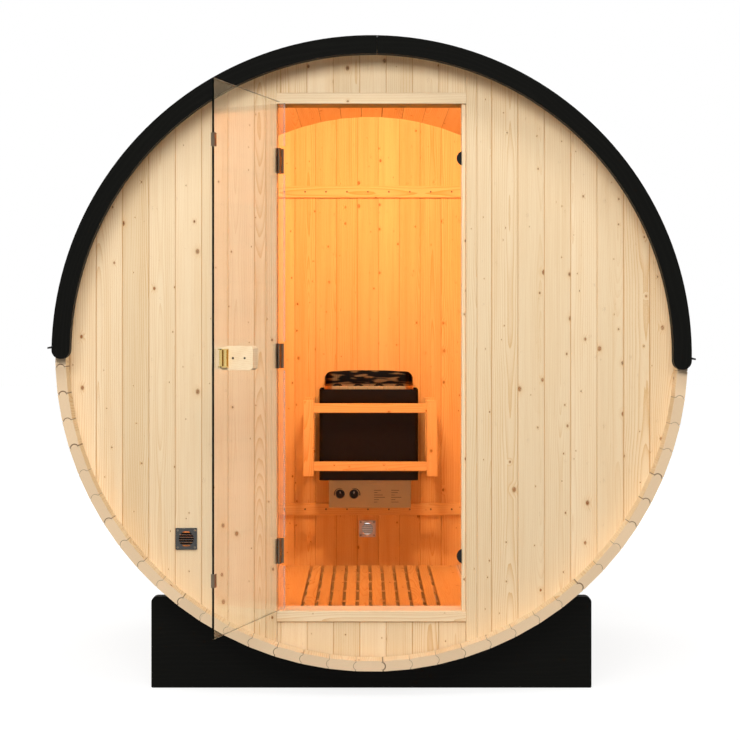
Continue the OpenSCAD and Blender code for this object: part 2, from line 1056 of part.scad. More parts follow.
// A control knob: a skirt, a tapered grip and a pointer ridge
module knob(x) {
  grip_r = knob_r * knob_grip_share;
  skirt_h = knob_h / 4;
  color("black")
    translate([x, control_front - fit, knob_z])
      rotate([90, 0, 0]) {
        cylinder(r = knob_r, h = skirt_h);
        translate([0, 0, skirt_h])
          cylinder(r1 = knob_r - fit, r2 = grip_r, h = knob_h - skirt_h);
        translate([-ridge_w / 2, 0, skirt_h])
          cube([ridge_w, grip_r - ridge_w / 2, knob_h - skirt_h + ridge_h]);
      }
}

module thermostat_knob() {
  knob(knob_x);
}

module timer_knob() {
  knob(knob_x + knob_pitch);
}

module guard_posts() {
  color("burlywood")
    for (side = [0, 1])
      mirror([side, 0, 0])
        for (y = [guard_y, back_in - guard_post])
          box([guard_in, y, guard_z], [guard_in + guard_post, y + guard_post, guard_z + guard_h]);
}

module guard_front_rails() {
  color("tan")
    for (z = rail_zs)
      box([-guard_in, guard_y, z], [guard_in, guard_y + rail_t, z + rail_h]);
}

module guard_side_rails() {
  color("tan")
    for (side = [0, 1])
      mirror([side, 0, 0])
        for (z = rail_zs)
          box(
            [guard_in + guard_post - rail_t, guard_y + guard_post, z],
            [guard_in + guard_post, back_in - guard_post, z + rail_h]
          );
}

front_cradle();
rear_cradle();
bottom_staves();
left_staves();
right_staves();
top_staves();
barrel_bands();
front_wall_left();
front_wall_right();
front_wall_top();
front_wall_bottom();
back_wall();
back_wall_battens();
door_post_left();
door_post_right();
door_head();
door_sill();
door_stop();
hinge_brackets();
door_catches();
door_glass();
hinge_clamps();
glass_clips();
handle_block();
roller_catch();
roof_cover();
roof_drips();
front_arc_left();
front_arc_right();
rear_arc_left();
rear_arc_right();
floor_joists();
floor_slats();
front_vent();
back_vent();
heater_case();
heater_shield();
heater_elements();
heater_control();
thermostat_knob();
timer_knob();
guard_posts();
guard_front_rails();
guard_side_rails();
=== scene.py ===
import json
import math

import bpy
import numpy as np
from bpy.props import FloatProperty, FloatVectorProperty, IntProperty, PointerProperty
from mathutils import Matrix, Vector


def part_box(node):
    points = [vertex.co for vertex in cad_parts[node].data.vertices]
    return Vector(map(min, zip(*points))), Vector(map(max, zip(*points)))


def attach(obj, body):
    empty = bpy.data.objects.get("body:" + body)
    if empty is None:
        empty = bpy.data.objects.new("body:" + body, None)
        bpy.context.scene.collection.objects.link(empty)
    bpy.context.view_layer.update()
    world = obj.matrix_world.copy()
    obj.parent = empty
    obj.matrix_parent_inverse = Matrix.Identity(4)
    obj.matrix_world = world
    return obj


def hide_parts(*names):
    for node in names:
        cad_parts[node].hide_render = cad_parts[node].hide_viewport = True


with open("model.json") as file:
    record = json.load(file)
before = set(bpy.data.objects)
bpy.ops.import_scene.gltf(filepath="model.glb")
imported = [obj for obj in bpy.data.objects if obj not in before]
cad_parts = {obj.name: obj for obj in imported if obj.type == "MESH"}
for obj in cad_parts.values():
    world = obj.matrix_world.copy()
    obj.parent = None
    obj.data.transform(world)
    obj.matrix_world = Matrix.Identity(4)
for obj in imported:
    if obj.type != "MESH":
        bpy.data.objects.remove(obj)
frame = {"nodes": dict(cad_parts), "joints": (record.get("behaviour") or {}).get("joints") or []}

bl_info = {
    "name": "Barrel sauna dressing",
    "version": (1, 0, 0),
    "blender": (4, 5, 0),
    "location": "3D View > Sidebar > Sauna",
    "description": "Boards, roof shingles, glass, fixings, finishes and a plain stage for a barrel sauna",
    "category": "Object",
}


class SaunaMeasures:
    """Sizes that the solids share with their dressing, in metres and degrees."""

    staves = 72
    stave_turn = 0.4  # turn of the whole ring of staves
    stave_r = 0.9  # radius to the middle of the staves' thickness
    stave_pitch = 2 * math.pi * stave_r / staves
    bead_r = 0.012
    bead_set = 0.005  # how far the bead's centre lies behind the edge
    inside = 0.8838  # radius that is free inside the staves
    batten_rise = 0.045
    slat = 0.034  # width of a narrow floor slat
    slat_gap = 0.0104
    slat_count = 10
    guard_post = 0.038
    rail_rise = 0.034
    rail_thick = 0.018
    roof_out = 0.9198  # outer radius of the roof cover
    roof_turn = 1.0
    roof_eaves = 89.31  # from the roof's middle to its lower edges
    clamp_half = 0.036  # half of a hinge clamp's height
    lip_rise = 0.012  # the liner's front lip over the case


def span(node):
    """Lowest and highest corner of a solid, as arrays in metres."""
    low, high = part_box(node)
    return np.array(low), np.array(high)


def middle(node):
    """Middle of a solid's box."""
    low, high = span(node)
    return (low + high) / 2


# Places that the solids give, in metres
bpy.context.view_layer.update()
BACK_LO, BACK_HI = span("back_wall")
AXIS_Z = (BACK_LO[2] + BACK_HI[2]) / 2
WALL_R = (BACK_HI[2] - BACK_LO[2]) / 2
HEAD_LO, HEAD_HI = span("door_head")
SILL_LO, SILL_HI = span("door_sill")
WALL_FRONT = HEAD_LO[1]
WALL_BACK = span("front_wall_top")[1][1]
FRAME_BACK = HEAD_HI[1]
POST_IN = HEAD_HI[0]
POST_OUT = span("door_post_right")[1][0]
SLATS_LO, SLATS_HI = span("floor_slats")
BATTEN_LO, BATTEN_HI = span("back_wall_battens")
POSTS_LO, POSTS_HI = span("guard_posts")
ROOF_LO, ROOF_HI = span("roof_cover")
CONTROL_LO, CONTROL_HI = span("heater_control")
LIP_TOP = span("heater_case")[1][2] + SaunaMeasures.lip_rise
HINGE = next(joint for joint in frame["joints"] if joint["name"] == "door_hinge")
HINGE_X, HINGE_Y = HINGE["pos_m"][:2]
OPEN_TURN = math.radians(HINGE["range_deg"][1])

# Room that boards, posts and bars keep to the walls' outline and to the staves, in metres
WALL_FIT = 0.0003
WALL_SIDE_FIT = 0.0006
POST_FIT = 0.0004
STAVE_FIT = 0.0005

# First number of each group of boards: a finish draws a board's tint, rings and knots from its number
FRONT_BOARDS, FRONT_FIELD = 1, 20
BACK_BOARDS = 101
BATTENS = 140
# The door head's number draws a pale tint: painted light, for the head catching more light than the boards
# round it
DOOR_POSTS, DOOR_HEAD, DOOR_SILL, DOOR_STOP = 160, 192, 171, 172
FLOOR_SLATS, FLOOR_SIDES = 180, 195
GUARD_POSTS, GUARD_FRONT, GUARD_SIDES = 200, 210, 214
UNDERLAY, SHINGLES = 299, 300


def linear(red, green, blue):
    """A colour written in 0 to 255 as the linear triple that a shader takes, by the sRGB curve."""
    share = np.array([red, green, blue], float) / 255
    return tuple(np.where(share <= 0.04045, share / 12.92, ((share + 0.055) / 1.055) ** 2.4))


class SaunaSizes(bpy.types.PropertyGroup):
    """Sizes of the dressing in metres."""

    front_pitch: FloatProperty(
        name="Front board width", description="Cover width of a front wall board",
        default=0.0772, unit="LENGTH")
    front_seam: FloatProperty(
        name="Front seam", description="Place of one seam of the front wall, right of the axis",
        default=0.043, unit="LENGTH")
    back_pitch: FloatProperty(
        name="Back board width", description="Cover width of a back wall board",
        default=0.0795, unit="LENGTH")
    back_seam: FloatProperty(
        name="Back seam", description="Place of one seam of the back wall, right of the axis",
        default=0.0318, unit="LENGTH")
    ease: FloatProperty(
        name="Eased edge", description="Radius of the eased edges of planed bars",
        default=0.0025, unit="LENGTH")
    course: FloatProperty(
        name="Shingle course", description="Height of a course of shingles that stays in view",
        default=0.143, unit="LENGTH")
    tab: FloatProperty(
        name="Shingle tab", description="Width of a shingle tab",
        default=0.305, unit="LENGTH")
    slot: FloatProperty(
        name="Shingle slot", description="Gap between shingle tabs",
        default=0.006, unit="LENGTH")
    sill_nosing: FloatProperty(
        name="Sill nosing", description="How far the sill stands out in front of the boards under it",
        default=0.008, unit="LENGTH")
    nail: FloatProperty(
        name="Nail head", description="Radius of a nail head in the battens",
        default=0.0036, unit="LENGTH")
    handle_screw: FloatProperty(
        name="Handle screw", description="Radius of a screw head in the handle block",
        default=0.003, unit="LENGTH")
    vent_screw: FloatProperty(
        name="Vent screw", description="Radius of a screw head in the vents",
        default=0.0034, unit="LENGTH")


class SaunaColours(bpy.types.PropertyGroup):
    """Colours of the finishes, linear."""

    pine: FloatVectorProperty(
        name="Pine", description="Early wood of planed pine",
        subtype="COLOR", size=3, default=linear(243, 218, 180))
    pine_late: FloatVectorProperty(
        name="Pine late wood", description="Late wood lines of planed pine",
        subtype="COLOR", size=3, default=linear(224, 184, 132))
    pine_end: FloatVectorProperty(
        name="Pine end grain", description="Sawn ends of the staves",
        subtype="COLOR", size=3, default=linear(240, 212, 176))
    knot: FloatVectorProperty(
        name="Knot", description="Knots in the pine",
        subtype="COLOR", size=3, default=linear(152, 86, 22))
    # Painted shade: the darker colour that points inside the slots between boards take
    seam: FloatVectorProperty(
        name="Seam", description="Edges of the boards in the joints",
        subtype="COLOR", size=3, default=linear(206, 158, 94))
    stain: FloatVectorProperty(
        name="Black stain", description="Black stained timber",
        subtype="COLOR", size=3, default=linear(9, 9, 7))
    roofing: FloatVectorProperty(
        name="Roofing", description="Mineral-faced roofing",
        subtype="COLOR", size=3, default=linear(52, 53, 56))
    lamp: FloatVectorProperty(
        name="Lamp", description="Light of the lamp in the cabin",
        subtype="COLOR", size=3, default=(1.0, 0.475, 0.17))


class SaunaStage(bpy.types.PropertyGroup):
    """Camera, light and the start of the random draws."""

    lens: FloatProperty(
        name="Lens", description="Focal length in millimetres", default=91.7)
    key_power: FloatProperty(
        name="Key light", description="Power of the light above the front", default=210.0, unit="POWER")
    ambient: FloatProperty(
        name="Ambient", description="Strength of the even light from all round", default=0.06)
    lamp_power: FloatProperty(
        name="Lamp power", description="Power of the lamp in the cabin", default=21.5, unit="POWER")
    floor_size: FloatProperty(
        name="Floor size", description="Side of the pale floor", default=60.0, unit="LENGTH")
    seed: IntProperty(
        name="Seed", description="Start of the draw of the printed dashes' lengths", default=3)


# Meshes


class Lot:
    """Solids gathered for one piece, each with its own board number."""

    def __init__(self):
        self.points, self.faces, self.finishes = [], [], []
        self.marks, self.hearts, self.seams = [], [], []
        self.count = 0

    def add(self, solid, mark=0.0, finish=0, heart=None):
        """Takes in a solid: its points, its faces and, where it tells them, the points that lie in a slot.
        The heart is the middle of the board that the solid belongs to."""
        points, faces, *in_slot = solid
        points = np.asarray(points, float).reshape(-1, 3)
        heart = (points.min(0) + points.max(0)) / 2 if heart is None else np.asarray(heart, float)
        self.points.append(points)
        self.faces += [np.asarray(face, int) + self.count for face in faces]
        self.finishes += [np.full(len(face), finish) for face in faces]
        self.marks.append(np.full(len(points), float(mark)))
        self.hearts.append(np.tile(heart, (len(points), 1)))
        self.seams.append(in_slot[0] if in_slot else np.zeros(len(points)))
        self.count += len(points)
        return self

    def make(self, name, body, slot, materials, nodes=()):
        """Puts the gathered solids into one mesh object that rides on a body."""
        points = np.concatenate(self.points)
        loops = np.concatenate([face.ravel() for face in self.faces])
        totals = np.concatenate([np.full(len(face), face.shape[1]) for face in self.faces])
        mesh = bpy.data.meshes.new(name)
        mesh.vertices.add(len(points))
        mesh.vertices.foreach_set("co", points.ravel())
        mesh.loops.add(len(loops))
        mesh.loops.foreach_set("vertex_index", loops)
        mesh.polygons.add(len(totals))
        mesh.polygons.foreach_set("loop_start", np.concatenate([[0], np.cumsum(totals)[:-1]]))
        mesh.polygons.foreach_set("material_index", np.concatenate(self.finishes))
        mesh.polygons.foreach_set("use_smooth", np.zeros(len(totals), bool))
        mesh.update(calc_edges=True)
        for attribute, values in (("board", self.marks), ("seam", self.seams)):
            made = mesh.attributes.new(attribute, "FLOAT", "POINT")
            made.data.foreach_set("value", np.concatenate(values))
        made = mesh.attributes.new("heart", "FLOAT_VECTOR", "POINT")
        made.data.foreach_set("vector", np.concatenate(self.hearts).ravel())
        for material in materials:
            mesh.materials.append(bpy.data.materials[material])
        piece = bpy.data.objects.new(name, mesh)
        bpy.context.scene.collection.objects.link(piece)
        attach(piece, body)
        if nodes:
            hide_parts(*nodes)
        return piece


def face_normals(piece):
    """Normals of a piece's faces, one row for each."""
    normals = np.empty(len(piece.data.polygons) * 3)
    piece.data.polygons.foreach_get("normal", normals)
    return normals.reshape(-1, 3)


def finish_faces(piece, finishes):
    """Gives each face of a piece the finish of that number."""
    piece.data.polygons.foreach_set("material_index", finishes.astype(np.int32))


def closed_sheet(top, bottom):
    """A solid between two grids of points: the top faces along rows times columns,
    the bottom the other way, and quads join their four rims."""
    rows, columns = top.shape[:2]
    t = np.arange(rows * columns).reshape(rows, columns)
    b = t + rows * columns

    def quads(p, q, r, s):
        return np.stack([p.ravel(), q.ravel(), r.ravel(), s.ravel()], 1)

    faces = np.concatenate([
        quads(t[:-1, :-1], t[1:, :-1], t[1:, 1:], t[:-1, 1:]),
        quads(b[:-1, 1:], b[1:, 1:], b[1:, :-1], b[:-1, :-1]),
        quads(t[0, :-1], t[0, 1:], b[0, 1:], b[0, :-1]),
        quads(t[-1, 1:], t[-1, :-1], b[-1, :-1], b[-1, 1:]),
        quads(t[1:, 0], t[:-1, 0], b[:-1, 0], b[1:, 0]),
        quads(t[:-1, -1], t[1:, -1], b[1:, -1], b[:-1, -1]),
    ])
    return np.concatenate([top.reshape(-1, 3), bottom.reshape(-1, 3)]), [faces]


def bands(rings):
    """Quads between each ring of point numbers and the next one; a ring closes on its own start."""
    ahead = np.roll(rings, -1, axis=1)
    return np.stack([rings[:-1].ravel(), ahead[:-1].ravel(), ahead[1:].ravel(), rings[1:].ravel()], 1)


def swept(rings):
    """A closed solid from rings of points that run anticlockwise about the way they follow;
    the first and last ring are capped."""
    count, around = rings.shape[:2]
    n = np.arange(count * around).reshape(count, around)
    return rings.reshape(-1, 3), [bands(n), n[0][::-1][None], n[-1][None]]


def rounded_section(low, high, eases):
    """A rectangle whose corners are quarter circles in three steps, anticlockwise from the low corner."""
    corners = [(0, 0, 180), (1, 0, 270), (1, 1, 0), (0, 1, 90)]
    out = []
    for (right, upper, start), ease in zip(corners, eases):
        angle = np.radians(start + np.linspace(0, 90, 4 if ease > 0 else 1))
        u = (high[0] - ease if right else low[0] + ease) + ease * np.cos(angle)
        v = (high[1] - ease if upper else low[1] + ease) + ease * np.sin(angle)
        out.append(np.stack([u, v], 1))
    return np.concatenate(out)


# Which coordinates run across, up and along a bar that lies along an axis
ORDER = {"X": (1, 2, 0), "Y": (2, 0, 1), "Z": (0, 1, 2)}


def bar(axis, low, high, eases, end_ease=0.0, ends=None):
    """A bar: a rounded rectangle carried along an axis, drawn in a little at both ends.
    Where ends is given, it maps the section's points to where the bar starts and stops."""
    u, v, w = ORDER[axis]
    low, high = np.asarray(low, float), np.asarray(high, float)
    eases = (eases,) * 4 if np.isscalar(eases) else eases
    section = rounded_section((low[u], low[v]), (high[u], high[v]), eases)
    if ends is None:
        start, stop = np.full(len(section), low[w]), np.full(len(section), high[w])
    else:
        start, stop = ends(section)
    stations = [(section, start + end_ease), (section, stop - end_ease)]
    if end_ease:
        inner = np.clip(section, low[[u, v]] + end_ease, high[[u, v]] - end_ease)
        stations = [(inner, start), *stations, (inner, stop)]
    rings = np.zeros((len(stations), len(section), 3))
    for ring, (shape, where) in zip(rings, stations):
        ring[:, u], ring[:, v], ring[:, w] = shape[:, 0], shape[:, 1], where
    return swept(rings)


# A board's edge in metres: half of the slot, the bevel, the slot's depth and the flat before the columns
HALF_SLOT, BEVEL, SLOT_DEPTH, EDGE_FLAT = 0.0005, 0.0012, 0.0024, 0.001
COLUMN_STEP = 0.006


def board(x0, x1, front, back, low, high, edges):
    """An upright board: columns across its width from a lower to an upper limit that may be curves.
    A free edge is bevelled and then drops into half of the slot that it shares with the next board,
    on both faces. The third value tells the points in the slot from those on the faces."""
    lead = np.array([0.0, HALF_SLOT, HALF_SLOT, HALF_SLOT + BEVEL])
    sink = np.array([SLOT_DEPTH, SLOT_DEPTH, BEVEL, 0.0])
    left, right = edges
    margin = HALF_SLOT + BEVEL + EDGE_FLAT
    columns = max(2, int((x1 - x0) / COLUMN_STEP))
    inner = np.linspace(x0 + margin * left, x1 - margin * right, columns)
    x = np.concatenate([x0 + lead if left else [], inner, (x1 - lead)[::-1] if right else []])
    cut = np.concatenate([sink if left else [], np.zeros(columns), sink[::-1] if right else []])
    z = np.stack([low(x), high(x)], 1)

    def face(y):
        return np.stack([np.repeat(x[:, None], 2, 1), np.repeat(y[:, None], 2, 1), z], 2)

    in_slot = np.tile(np.repeat(cut > 0, 2), 2).astype(float)
    return *closed_sheet(face(front + cut), face(back - cut)), in_slot


def holed_square(centre, half, radius, front, back):
    """A square plate with a round hole: each of 64 rays from the centre meets the circle and the square,
    on the front and on the back."""
    around = 64
    angle = np.arange(around) * 2 * np.pi / around
    ray = np.stack([np.cos(angle), np.sin(angle)], 1)
    outer = ray * (half / np.abs(ray).max(1))[:, None]
    inner = ray * radius
    loops = [(outer, front), (inner, front), (inner, back), (outer, back)]
    grid = [np.stack([centre[0] + p[:, 0], np.full(around, y), centre[2] + p[:, 1]], 1) for p, y in loops]
    n = np.arange(len(loops) * around).reshape(len(loops), around)
    return np.concatenate(grid), [bands(np.concatenate([n, n[:1]]))]


def turned(profile, centre, way, around=14):
    """A solid of revolution: pairs of radius and height turned about a line through the centre."""
    way = np.asarray(way, float) / np.linalg.norm(way)
    side = np.cross(way, [0.0, 0.0, 1.0] if abs(way[2]) < 0.9 else [1.0, 0.0, 0.0])
    side /= np.linalg.norm(side)
    other = np.cross(way, side)
    angle = np.arange(around) * 2 * np.pi / around
    spoke = np.cos(angle)[:, None] * side + np.sin(angle)[:, None] * other
    profile = np.asarray(profile, float)
    return swept(np.asarray(centre) + profile[:, 0, None, None] * spoke + profile[:, 1, None, None] * way)


# Outlines of the heads, as shares of their radius: distance from the axis and height
PAN_HEAD = np.array([(1, -0.2), (1, 0.12), (0.86, 0.34), (0.5, 0.46), (0.42, 0.44), (0.3, 0.16)])
FLAT_HEAD = np.array([(1, -0.2), (1, 0.08), (0.7, 0.2), (0.25, 0.24)])


def screw(centre, way, radius):
    """A pan head with a shallow driver recess."""
    return turned(PAN_HEAD * radius, centre, way)


def nail_head(centre, way, radius):
    """A flat, slightly domed nail head."""
    return turned(FLAT_HEAD * radius, centre, way, around=12)


LOWER, UPPER = -1, 1


def circle(radius, half):
    """The lower or upper half of a circle about the barrel's axis, as a height over x."""
    return lambda x: AXIS_Z + half * np.sqrt(np.maximum(radius ** 2 - np.asarray(x) ** 2, 0))


def half_width(radius, z):
    """Half the width of a circle about the barrel's axis at a height: the root of the radius squared less the
    height over the axis squared."""
    return np.sqrt(radius ** 2 - (z - AXIS_Z) ** 2)


def level(z):
    """A straight limit at one height."""
    return lambda x: np.full(len(x), z)


# The narrowest strip, as a share of a board, that is a board of its own
NARROWEST = 0.04


def seams(x0, x1, pitch, seam):
    """Edges of the boards between two sides: both sides and every seam between them."""
    first = math.ceil((x0 - seam) / pitch + NARROWEST)
    last = math.floor((x1 - seam) / pitch - NARROWEST)
    return np.concatenate([[x0], seam + pitch * np.arange(first, last + 1), [x1]])


def holed_board(x0, x1, front, back, low, high, hole):
    """A board with a round hole: a square patch that has the hole, and strips on its four sides.
    The hole is its centre, half of the patch and the radius."""
    centre, half, radius = hole
    near, far = centre[0] - half, centre[0] + half
    return [
        board(x0, near, front, back, low, high, (1, 0)),
        board(far, x1, front, back, low, high, (0, 1)),
        board(near, far, front, back, low, level(centre[2] - half), (0, 0)),
        board(near, far, front, back, level(centre[2] + half), high, (0, 0)),
        holed_square(centre, half, radius, front, back),
    ]


def boards(x0, x1, front, back, low, high, pitch, seam, mark, hole=None):
    """A field of upright boards side by side, with a round hole through one of them where asked."""
    lot = Lot()
    edges = seams(x0, x1, pitch, seam)
    for number, (left, right) in enumerate(zip(edges[:-1], edges[1:]), mark):
        if hole and left < hole[0][0] < right:
            solids = holed_board(left, right, front, back, low, high, hole)
        else:
            solids = [board(left, right, front, back, low, high, (1, 1))]
        for solid in solids:
            lot.add(solid, number, heart=((left + right) / 2, (front + back) / 2, AXIS_Z))
    return lot


def swung(points, turn):
    """Points turned about the hinge's upright line, clockwise from above."""
    points = np.asarray(points, float)
    c, s = math.cos(turn), math.sin(turn)
    a, b = points[..., 0] - HINGE_X, points[..., 1] - HINGE_Y
    return np.stack([HINGE_X + a * c + b * s, HINGE_Y - a * s + b * c, points[..., 2]], -1)


def opened(solid):
    """A solid of the closed door, turned about the hinge to where the door stands open."""
    points, faces = solid
    return swung(points, OPEN_TURN), faces


def closed_box(node):
    """The box of a door solid in the closed door's own directions."""
    vertices = frame["nodes"][node].data.vertices
    points = np.empty(len(vertices) * 3)
    vertices.foreach_get("co", points)
    shut = swung(points.reshape(-1, 3), -OPEN_TURN)
    return shut.min(0), shut.max(0)


# Finishes

WHITE = (1.0, 1.0, 1.0)


def shaded(colour, share):
    """A colour times a share, no part above 1."""
    return tuple(min(1.0, part * share) for part in colour)


class Finish:
    """The node tree of a material or a world, with short ways to add what the finishes here need."""

    def __init__(self, owner, output="ShaderNodeOutputMaterial"):
        owner.use_nodes = True
        self.owner, self.tree = owner, owner.node_tree
        self.tree.nodes.clear()
        self.out = self.tree.nodes.new(output)

    def put(self, socket, value):
        """Links a socket to another one, or sets its value."""
        if isinstance(value, bpy.types.NodeSocket):
            self.tree.links.new(value, socket)
        elif value is not None:
            socket.default_value = (*value, 1.0) if socket.type == "RGBA" and len(value) == 3 else value

    def node(self, kind, inputs=None, **settings):
        """A node with settings and inputs."""
        made = self.tree.nodes.new(kind)
        for key, value in settings.items():
            setattr(made, key, value)
        for key, value in (inputs or {}).items():
            self.put(made.inputs[key], value)
        return made

    def maths(self, operation, a, b=None, c=None, clamp=False):
        """One operation on up to three values."""
        inputs = dict(enumerate((a, b, c)))
        return self.node("ShaderNodeMath", inputs, operation=operation, use_clamp=clamp).outputs[0]

    def plus(self, a, b, clamp=False):
        """The sum of two values, held to 0 and 1 where asked."""
        return self.maths("ADD", a, b, clamp=clamp)

    def minus(self, a, b):
        """One value less another."""
        return self.maths("SUBTRACT", a, b)

    def times(self, a, b):
        """The product of two values."""
        return self.maths("MULTIPLY", a, b)

    def share(self, a, b):
        """One value divided by another."""
        return self.maths("DIVIDE", a, b)

    def power(self, a, b):
        """One value to the power of another."""
        return self.maths("POWER", a, b)

    def size(self, a):
        """A value without its sign."""
        return self.maths("ABSOLUTE", a)

    def line(self, value, slope, start):
        """A value times a slope, plus a start."""
        return self.maths("MULTIPLY_ADD", value, slope, start)

    def centred(self, value, spread):
        """A value from 0 to 1, spread about zero."""
        return self.line(value, spread, -spread / 2)

    def distance(self, a, b):
        """The root of the sum of two squares."""
        return self.maths("SQRT", self.plus(self.power(a, 2.0), self.power(b, 2.0)))

    def ramp(self, value, low, high, out_low=0.0, out_high=1.0):
        """A smooth step from one value to another."""
        inputs = {"Value": value, "From Min": low, "From Max": high, "To Min": out_low, "To Max": out_high}
        return self.node("ShaderNodeMapRange", inputs, interpolation_type="SMOOTHSTEP").outputs[0]

    def mix(self, share, a, b, blend="MIX"):
        """Two colours mixed by a share."""
        inputs = {0: share, 6: a, 7: b}
        return self.node("ShaderNodeMix", inputs, data_type="RGBA", blend_type=blend).outputs[2]

    def tinted(self, colour, tint):
        """A colour times another one."""
        return self.mix(1.0, colour, tint, "MULTIPLY")

    def colour(self, red, green, blue):
        """A colour from its three parts."""
        return self.node("ShaderNodeCombineColor", {0: red, 1: green, 2: blue}).outputs[0]

    def colour_parts(self, colour):
        """The three parts of a colour."""
        return tuple(self.node("ShaderNodeSeparateColor", {0: colour}).outputs)

    def vector(self, x, y, z):
        """A vector from its three parts."""
        return self.node("ShaderNodeCombineXYZ", {"X": x, "Y": y, "Z": z}).outputs[0]

    def vector_parts(self, vector):
        """The three parts of a vector."""
        return tuple(self.node("ShaderNodeSeparateXYZ", {0: vector}).outputs)

    def stretched(self, parts, rates):
        """A vector of three values, each times its own rate."""
        return self.vector(*(self.times(part, rate) for part, rate in zip(parts, rates)))

    def place(self):
        """Object coordinates."""
        return self.node("ShaderNodeTexCoord").outputs["Object"]

    def attribute(self, name, output="Fac"):
        """A value that the mesh's points hold."""
        return self.node("ShaderNodeAttribute", attribute_name=name).outputs[output]

    def chance(self, number, output="Value"):
        """A random value or colour that belongs to a number."""
        return self.node("ShaderNodeTexWhiteNoise", {"W": number}, noise_dimensions="1D").outputs[output]

    def noise(self, vector, scale=1.0, detail=2.0, roughness=0.55):
        """Cloudy noise from 0 to 1."""
        inputs = {"Vector": vector, "Scale": scale, "Detail": detail, "Roughness": roughness}
        return self.node("ShaderNodeTexNoise", inputs).outputs[0]

    def bump(self, height, strength, distance):
        """A normal that follows a height."""
        inputs = {"Height": height, "Strength": strength, "Distance": distance}
        return self.node("ShaderNodeBump", inputs).outputs[0]

    def seen(self):
        """1 where the camera looks, straight or by way of metal or glass, and 0 for light on things."""
        path = self.node("ShaderNodeLightPath").outputs
        mirrored = self.maths("MAXIMUM", path["Is Glossy Ray"], path["Is Transmission Ray"])
        return self.maths("MAXIMUM", path["Is Camera Ray"], mirrored)

    def done(self, shader):
        """Links the last shader to the output."""
        self.put(self.out.inputs[0], shader.outputs[0])
        return self.owner

    def surface(self, **inputs):
        """Ends the tree with a principled surface, its inputs named in lower case."""
        names = {key.replace("_", " ").title().replace("Ior", "IOR"): value for key, value in inputs.items()}
        return self.done(self.node("ShaderNodeBsdfPrincipled", names))


def new_finish(name):
    """A material of that name, ready for its nodes."""
    return Finish(bpy.data.materials.new(name))


class PineGrain:
    """How pine is drawn. Lengths are in metres and rates per metre, across, through and along the grain.
    A pair is the slope and the start of a line over a board's random value."""

    apart_along = 37.0  # boards are cut from stretches of the trunk this far apart
    apart_across = 23.0
    heart_aside = 0.11  # spread of the heart line beside the board
    heart_below = (0.045, 0.006)
    heart_sway = 0.09  # how far the heart line wanders along the grain
    sway_rate = 1.1
    waver_rates = (30.0, 30.0, 3.0)
    ring = (0.0028, 0.0034)  # width of a year ring
    fibre_rates = (420.0, 420.0, 9.0)
    broad_rates = (45.0, 45.0, 1.6)
    knot_rates = (14.0, 10.0)
    knot_least = 0.015  # radius of a small knot, in cells of the pattern
    knot_growth = 0.062
    knot_free = 0.35  # share of the cells without a knot
    knot_floor = 0.0005  # keeps the division by a knot's radius from zero
    tint = (0.12, 0.92)
    end_ring = 0.0036
    end_late = (0.82, 0.72, 0.6)
    speck_rate = 700.0
    sawn_facing = 0.85  # a face that looks this far along the grain is a sawn end
    # The joint width below is the width of the painted shade line at a joint between staves
    joint = (0.0017, 0.0007)  # width of a joint between staves
    joint_apart = 200.5  # keeps the joints' numbers on the left and on the right apart


def board_axes(f, grain, place):
    """A board's number, and how far a point lies across, through and along the board."""
    x, y, z = f.vector_parts(place)
    heart = f.vector_parts(f.attribute("heart", "Vector"))
    dx, dy, dz = (f.minus(a, b) for a, b in zip((x, y, z), heart))
    ways = {"Z": (dx, dy, z), "Y": (dx, dz, y), "X": (dz, dy, x)}
    return f.attribute("board"), *ways[grain]


def stave_axes(f, place):
    """A stave's number, how far a point lies across, through and along the stave, and how near to a joint."""
    m = SaunaMeasures
    x, y, z = f.vector_parts(place)
    up = f.minus(z, AXIS_Z)
    round_way = f.minus(f.maths("ARCTAN2", x, up), math.radians(m.stave_turn))
    steps = f.times(round_way, m.staves / (2 * math.pi))
    mark = f.maths("FLOOR", f.plus(steps, 0.5))
    across = f.times(f.minus(steps, mark), m.stave_pitch)
    depth = f.minus(f.distance(x, up), m.stave_r)
    return mark, across, depth, y, stave_joint(f, round_way, depth)


def stave_joint(f, round_way, depth):
    """How near a point of a stave lies to a joint: the joint runs straight in and out, and round the bead
    in the middle of the stave's thickness. Joints differ in width from one to the next."""
    # The dark line along a joint is painted shade of the open joint
    m = SaunaMeasures
    fall = f.minus(f.times(f.size(round_way), m.staves / (2 * math.pi)), 0.5)
    joint = f.maths("ROUND", fall)
    aside = f.times(f.minus(fall, joint), m.stave_pitch)
    curve = f.size(f.minus(f.distance(f.minus(aside, m.bead_set), depth), m.bead_r))
    inside = f.maths("LESS_THAN", f.size(depth), math.sqrt(m.bead_r ** 2 - m.bead_set ** 2))
    nearness = f.plus(f.times(inside, curve), f.times(f.minus(1.0, inside), f.size(aside)))
    side = f.maths("LESS_THAN", aside, m.bead_set)
    wide = f.chance(f.line(f.maths("SIGN", round_way), PineGrain.joint_apart, joint))
    width = f.line(f.power(wide, 3.0), *PineGrain.joint)
    line = f.ramp(f.share(nearness, width), 1.0, 0.5)
    return f.times(f.times(line, side), 0.8)


# The part of a normal that runs along each grain
END_WAY = {"stave": 1, "X": 0, "Y": 1, "Z": 2}


